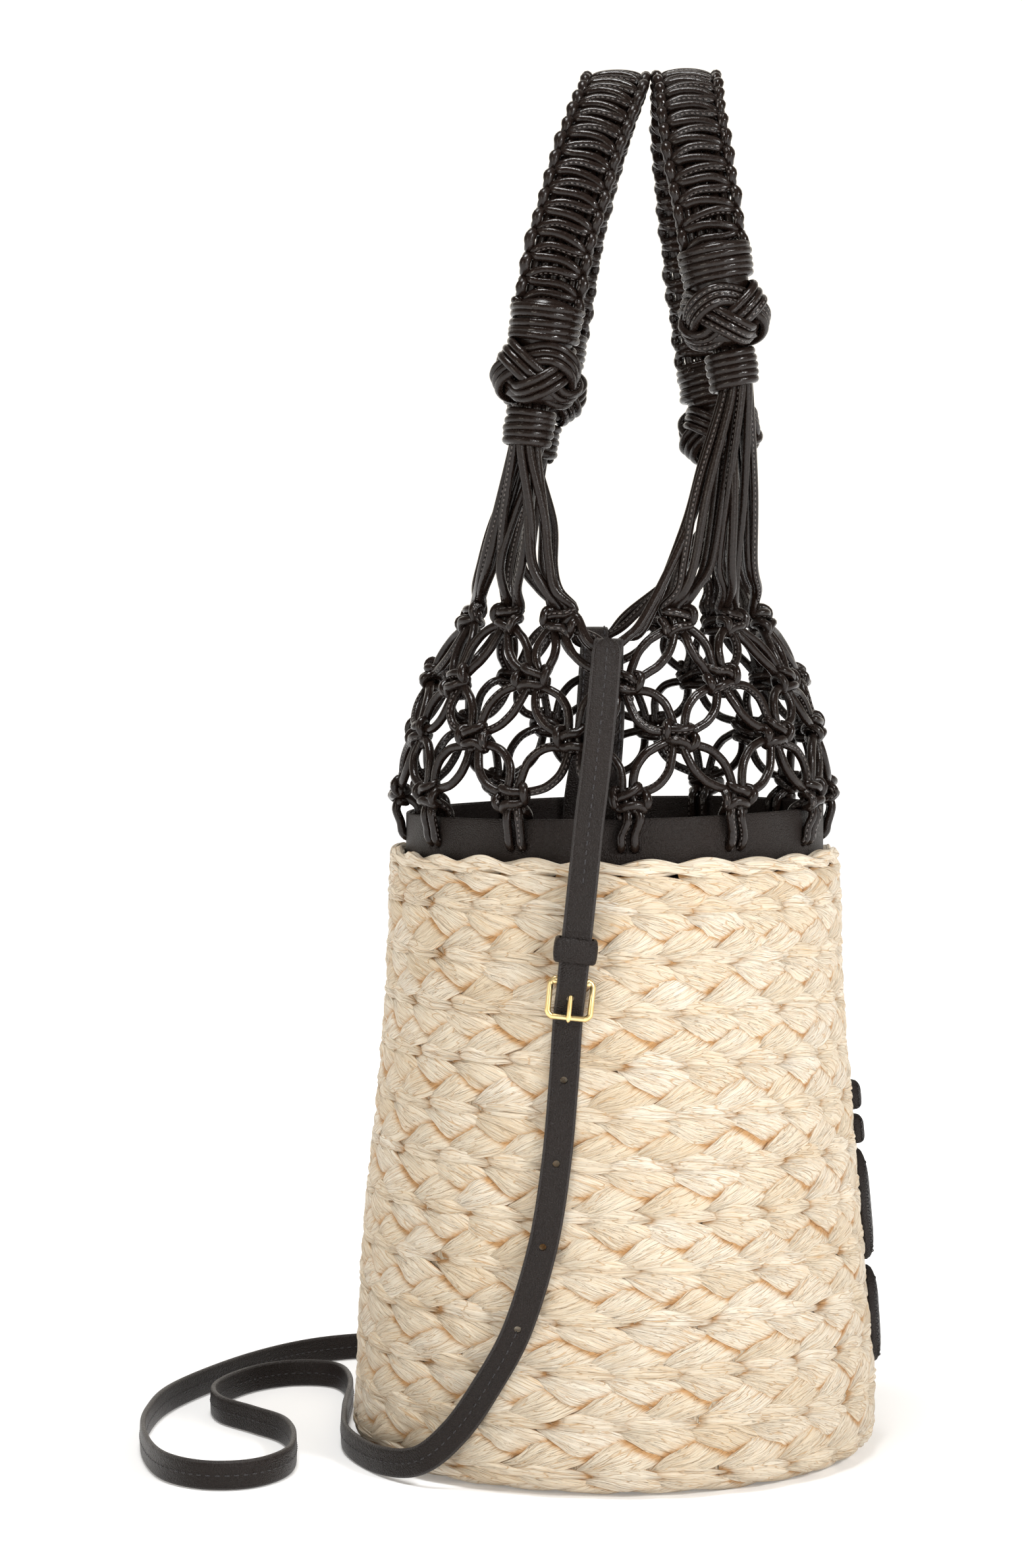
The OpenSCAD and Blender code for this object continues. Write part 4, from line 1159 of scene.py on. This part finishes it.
def leaf_patch(name, height, width, tall):
    """Padded leather piece of pointed oval shape with a sewn edge."""
    skin, thread = Skin(), Skin()
    radius = (width * width + tall * tall) / (4 * width)
    t = np.linspace(-1, 1, 34)[:, None]
    z = t * tall / 2 * 0.995
    half = np.sqrt(np.maximum(radius**2 - z**2, 0)) - (radius - width / 2)
    z = z + height
    w = np.linspace(-1, 1, 15)[None, :]
    rim = np.minimum(1 - np.abs(w) ** 2.2, 1 - np.abs(t) ** 3.5)
    puff = 1.7 + 3.7 * np.power(np.clip(rim, 0, 1), 0.55) - 0.6 * np.exp(-((np.abs(w) - 0.8) / 0.07) ** 2)

    def at(x, z, h):
        x, z, h = np.broadcast_arrays(x, z, h)
        return np.stack([x, -np.sqrt(np.maximum((wall_r(z) + h) ** 2 - x**2, 0)), z], -1)

    front, behind = at(w * half, z, puff), at(w * half * 0.98, z, 0.35)
    ring = np.concatenate([front, behind[:, ::-1]], axis=1)
    skin.grid(ring, np.linspace(0, 1, 31), lengths(front[:, 7]), ring=True, caps=True)
    made = skin.make(name + "_leather", LEATHER, "bag", [name], "leather")
    inside = np.abs(t[:, 0]) < 0.93
    for s in (-0.8, 0.8):
        line = at(s * half[inside, 0], z[inside, 0], 4.2)
        normal = unit(line * [1, 1, 0])
        if lengths(line)[-1] > 8:
            stitches(thread, line, (np.cross(normal, tangents(line)), normal), 0.15, long=1.9, gap=0.8, radius=0.27)
    thread.make(name + "_stitching", THREAD, "bag", slot="leather")


for name, size in PATCHES.items():
    leaf_patch(name, *size)

for node, material in (("lining_wall", LINING), ("lining_base", LINING), ("base_board", BOARD)):
    place(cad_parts[node], material)

# ---- Floor and light ----

FLOOR_EDGES = (-60000.0, 60000.0)
floor = Skin()
floor.grid(np.array([[(x, y, 0) for x in FLOOR_EDGES] for y in FLOOR_EDGES]), [0, 1], [0, 1])
s = Shader("studio_floor")
away = s.node("VectorMath", {0: s.place()}, "Value", operation="LENGTH")
glow = s.span(away, 0.16, 0.5, 0.16, 0.9)
white = s.finish((0.9, 0.9, 0.9), 0.9, Specular_IOR_Level=0.0, Emission_Color=(1, 1, 1, 1), Emission_Strength=glow)
floor.make("floor", white)

# The sky is white behind the bag and low all round, and a darker studio elsewhere.
scene.world = bpy.data.worlds.new("studio")
s = Shader(scene.world)
x, y, z = s.split(s.node("TexCoord", out="Generated"))
background = s.tree.nodes["Background"].inputs
background["Color"].default_value = (1, 0.945, 0.86, 1)
brighter = s.math("MAXIMUM", s.span(x, 0.6, 0.92, 0.24, 1.25), s.span(z, 0.1, 0.15, 1.25, 0.24))
s.link(brighter, background["Strength"])


def softbox(name, location, target, size, power, colour=(1, 1, 1)):
    data = bpy.data.lights.new(name, "AREA")
    data.color = colour
    data.shape = "RECTANGLE"
    data.size, data.size_y = size
    data.energy = power
    light = bpy.data.objects.new(name, data)
    light.location = location
    light.rotation_euler = (Vector(target) - Vector(location)).to_track_quat("-Z", "Y").to_euler()
    scene.collection.objects.link(light)


softbox("key", (-1.5, -1.5, 1.5), (0, 0, 0.28), (0.36, 0.36), 34)
softbox("strip", (-1.5, -0.85, 0.5), (0, 0, 0.4), (0.07, 0.9), 4.5)
softbox("top", (-0.3, 0.2, 2.1), (0, 0, 0.2), (0.6, 0.6), 26)
softbox("fill", (-1.7, 1.5, 0.8), (0, 0, 0.28), (0.35, 0.9), 8, (1, 0.93, 0.82))
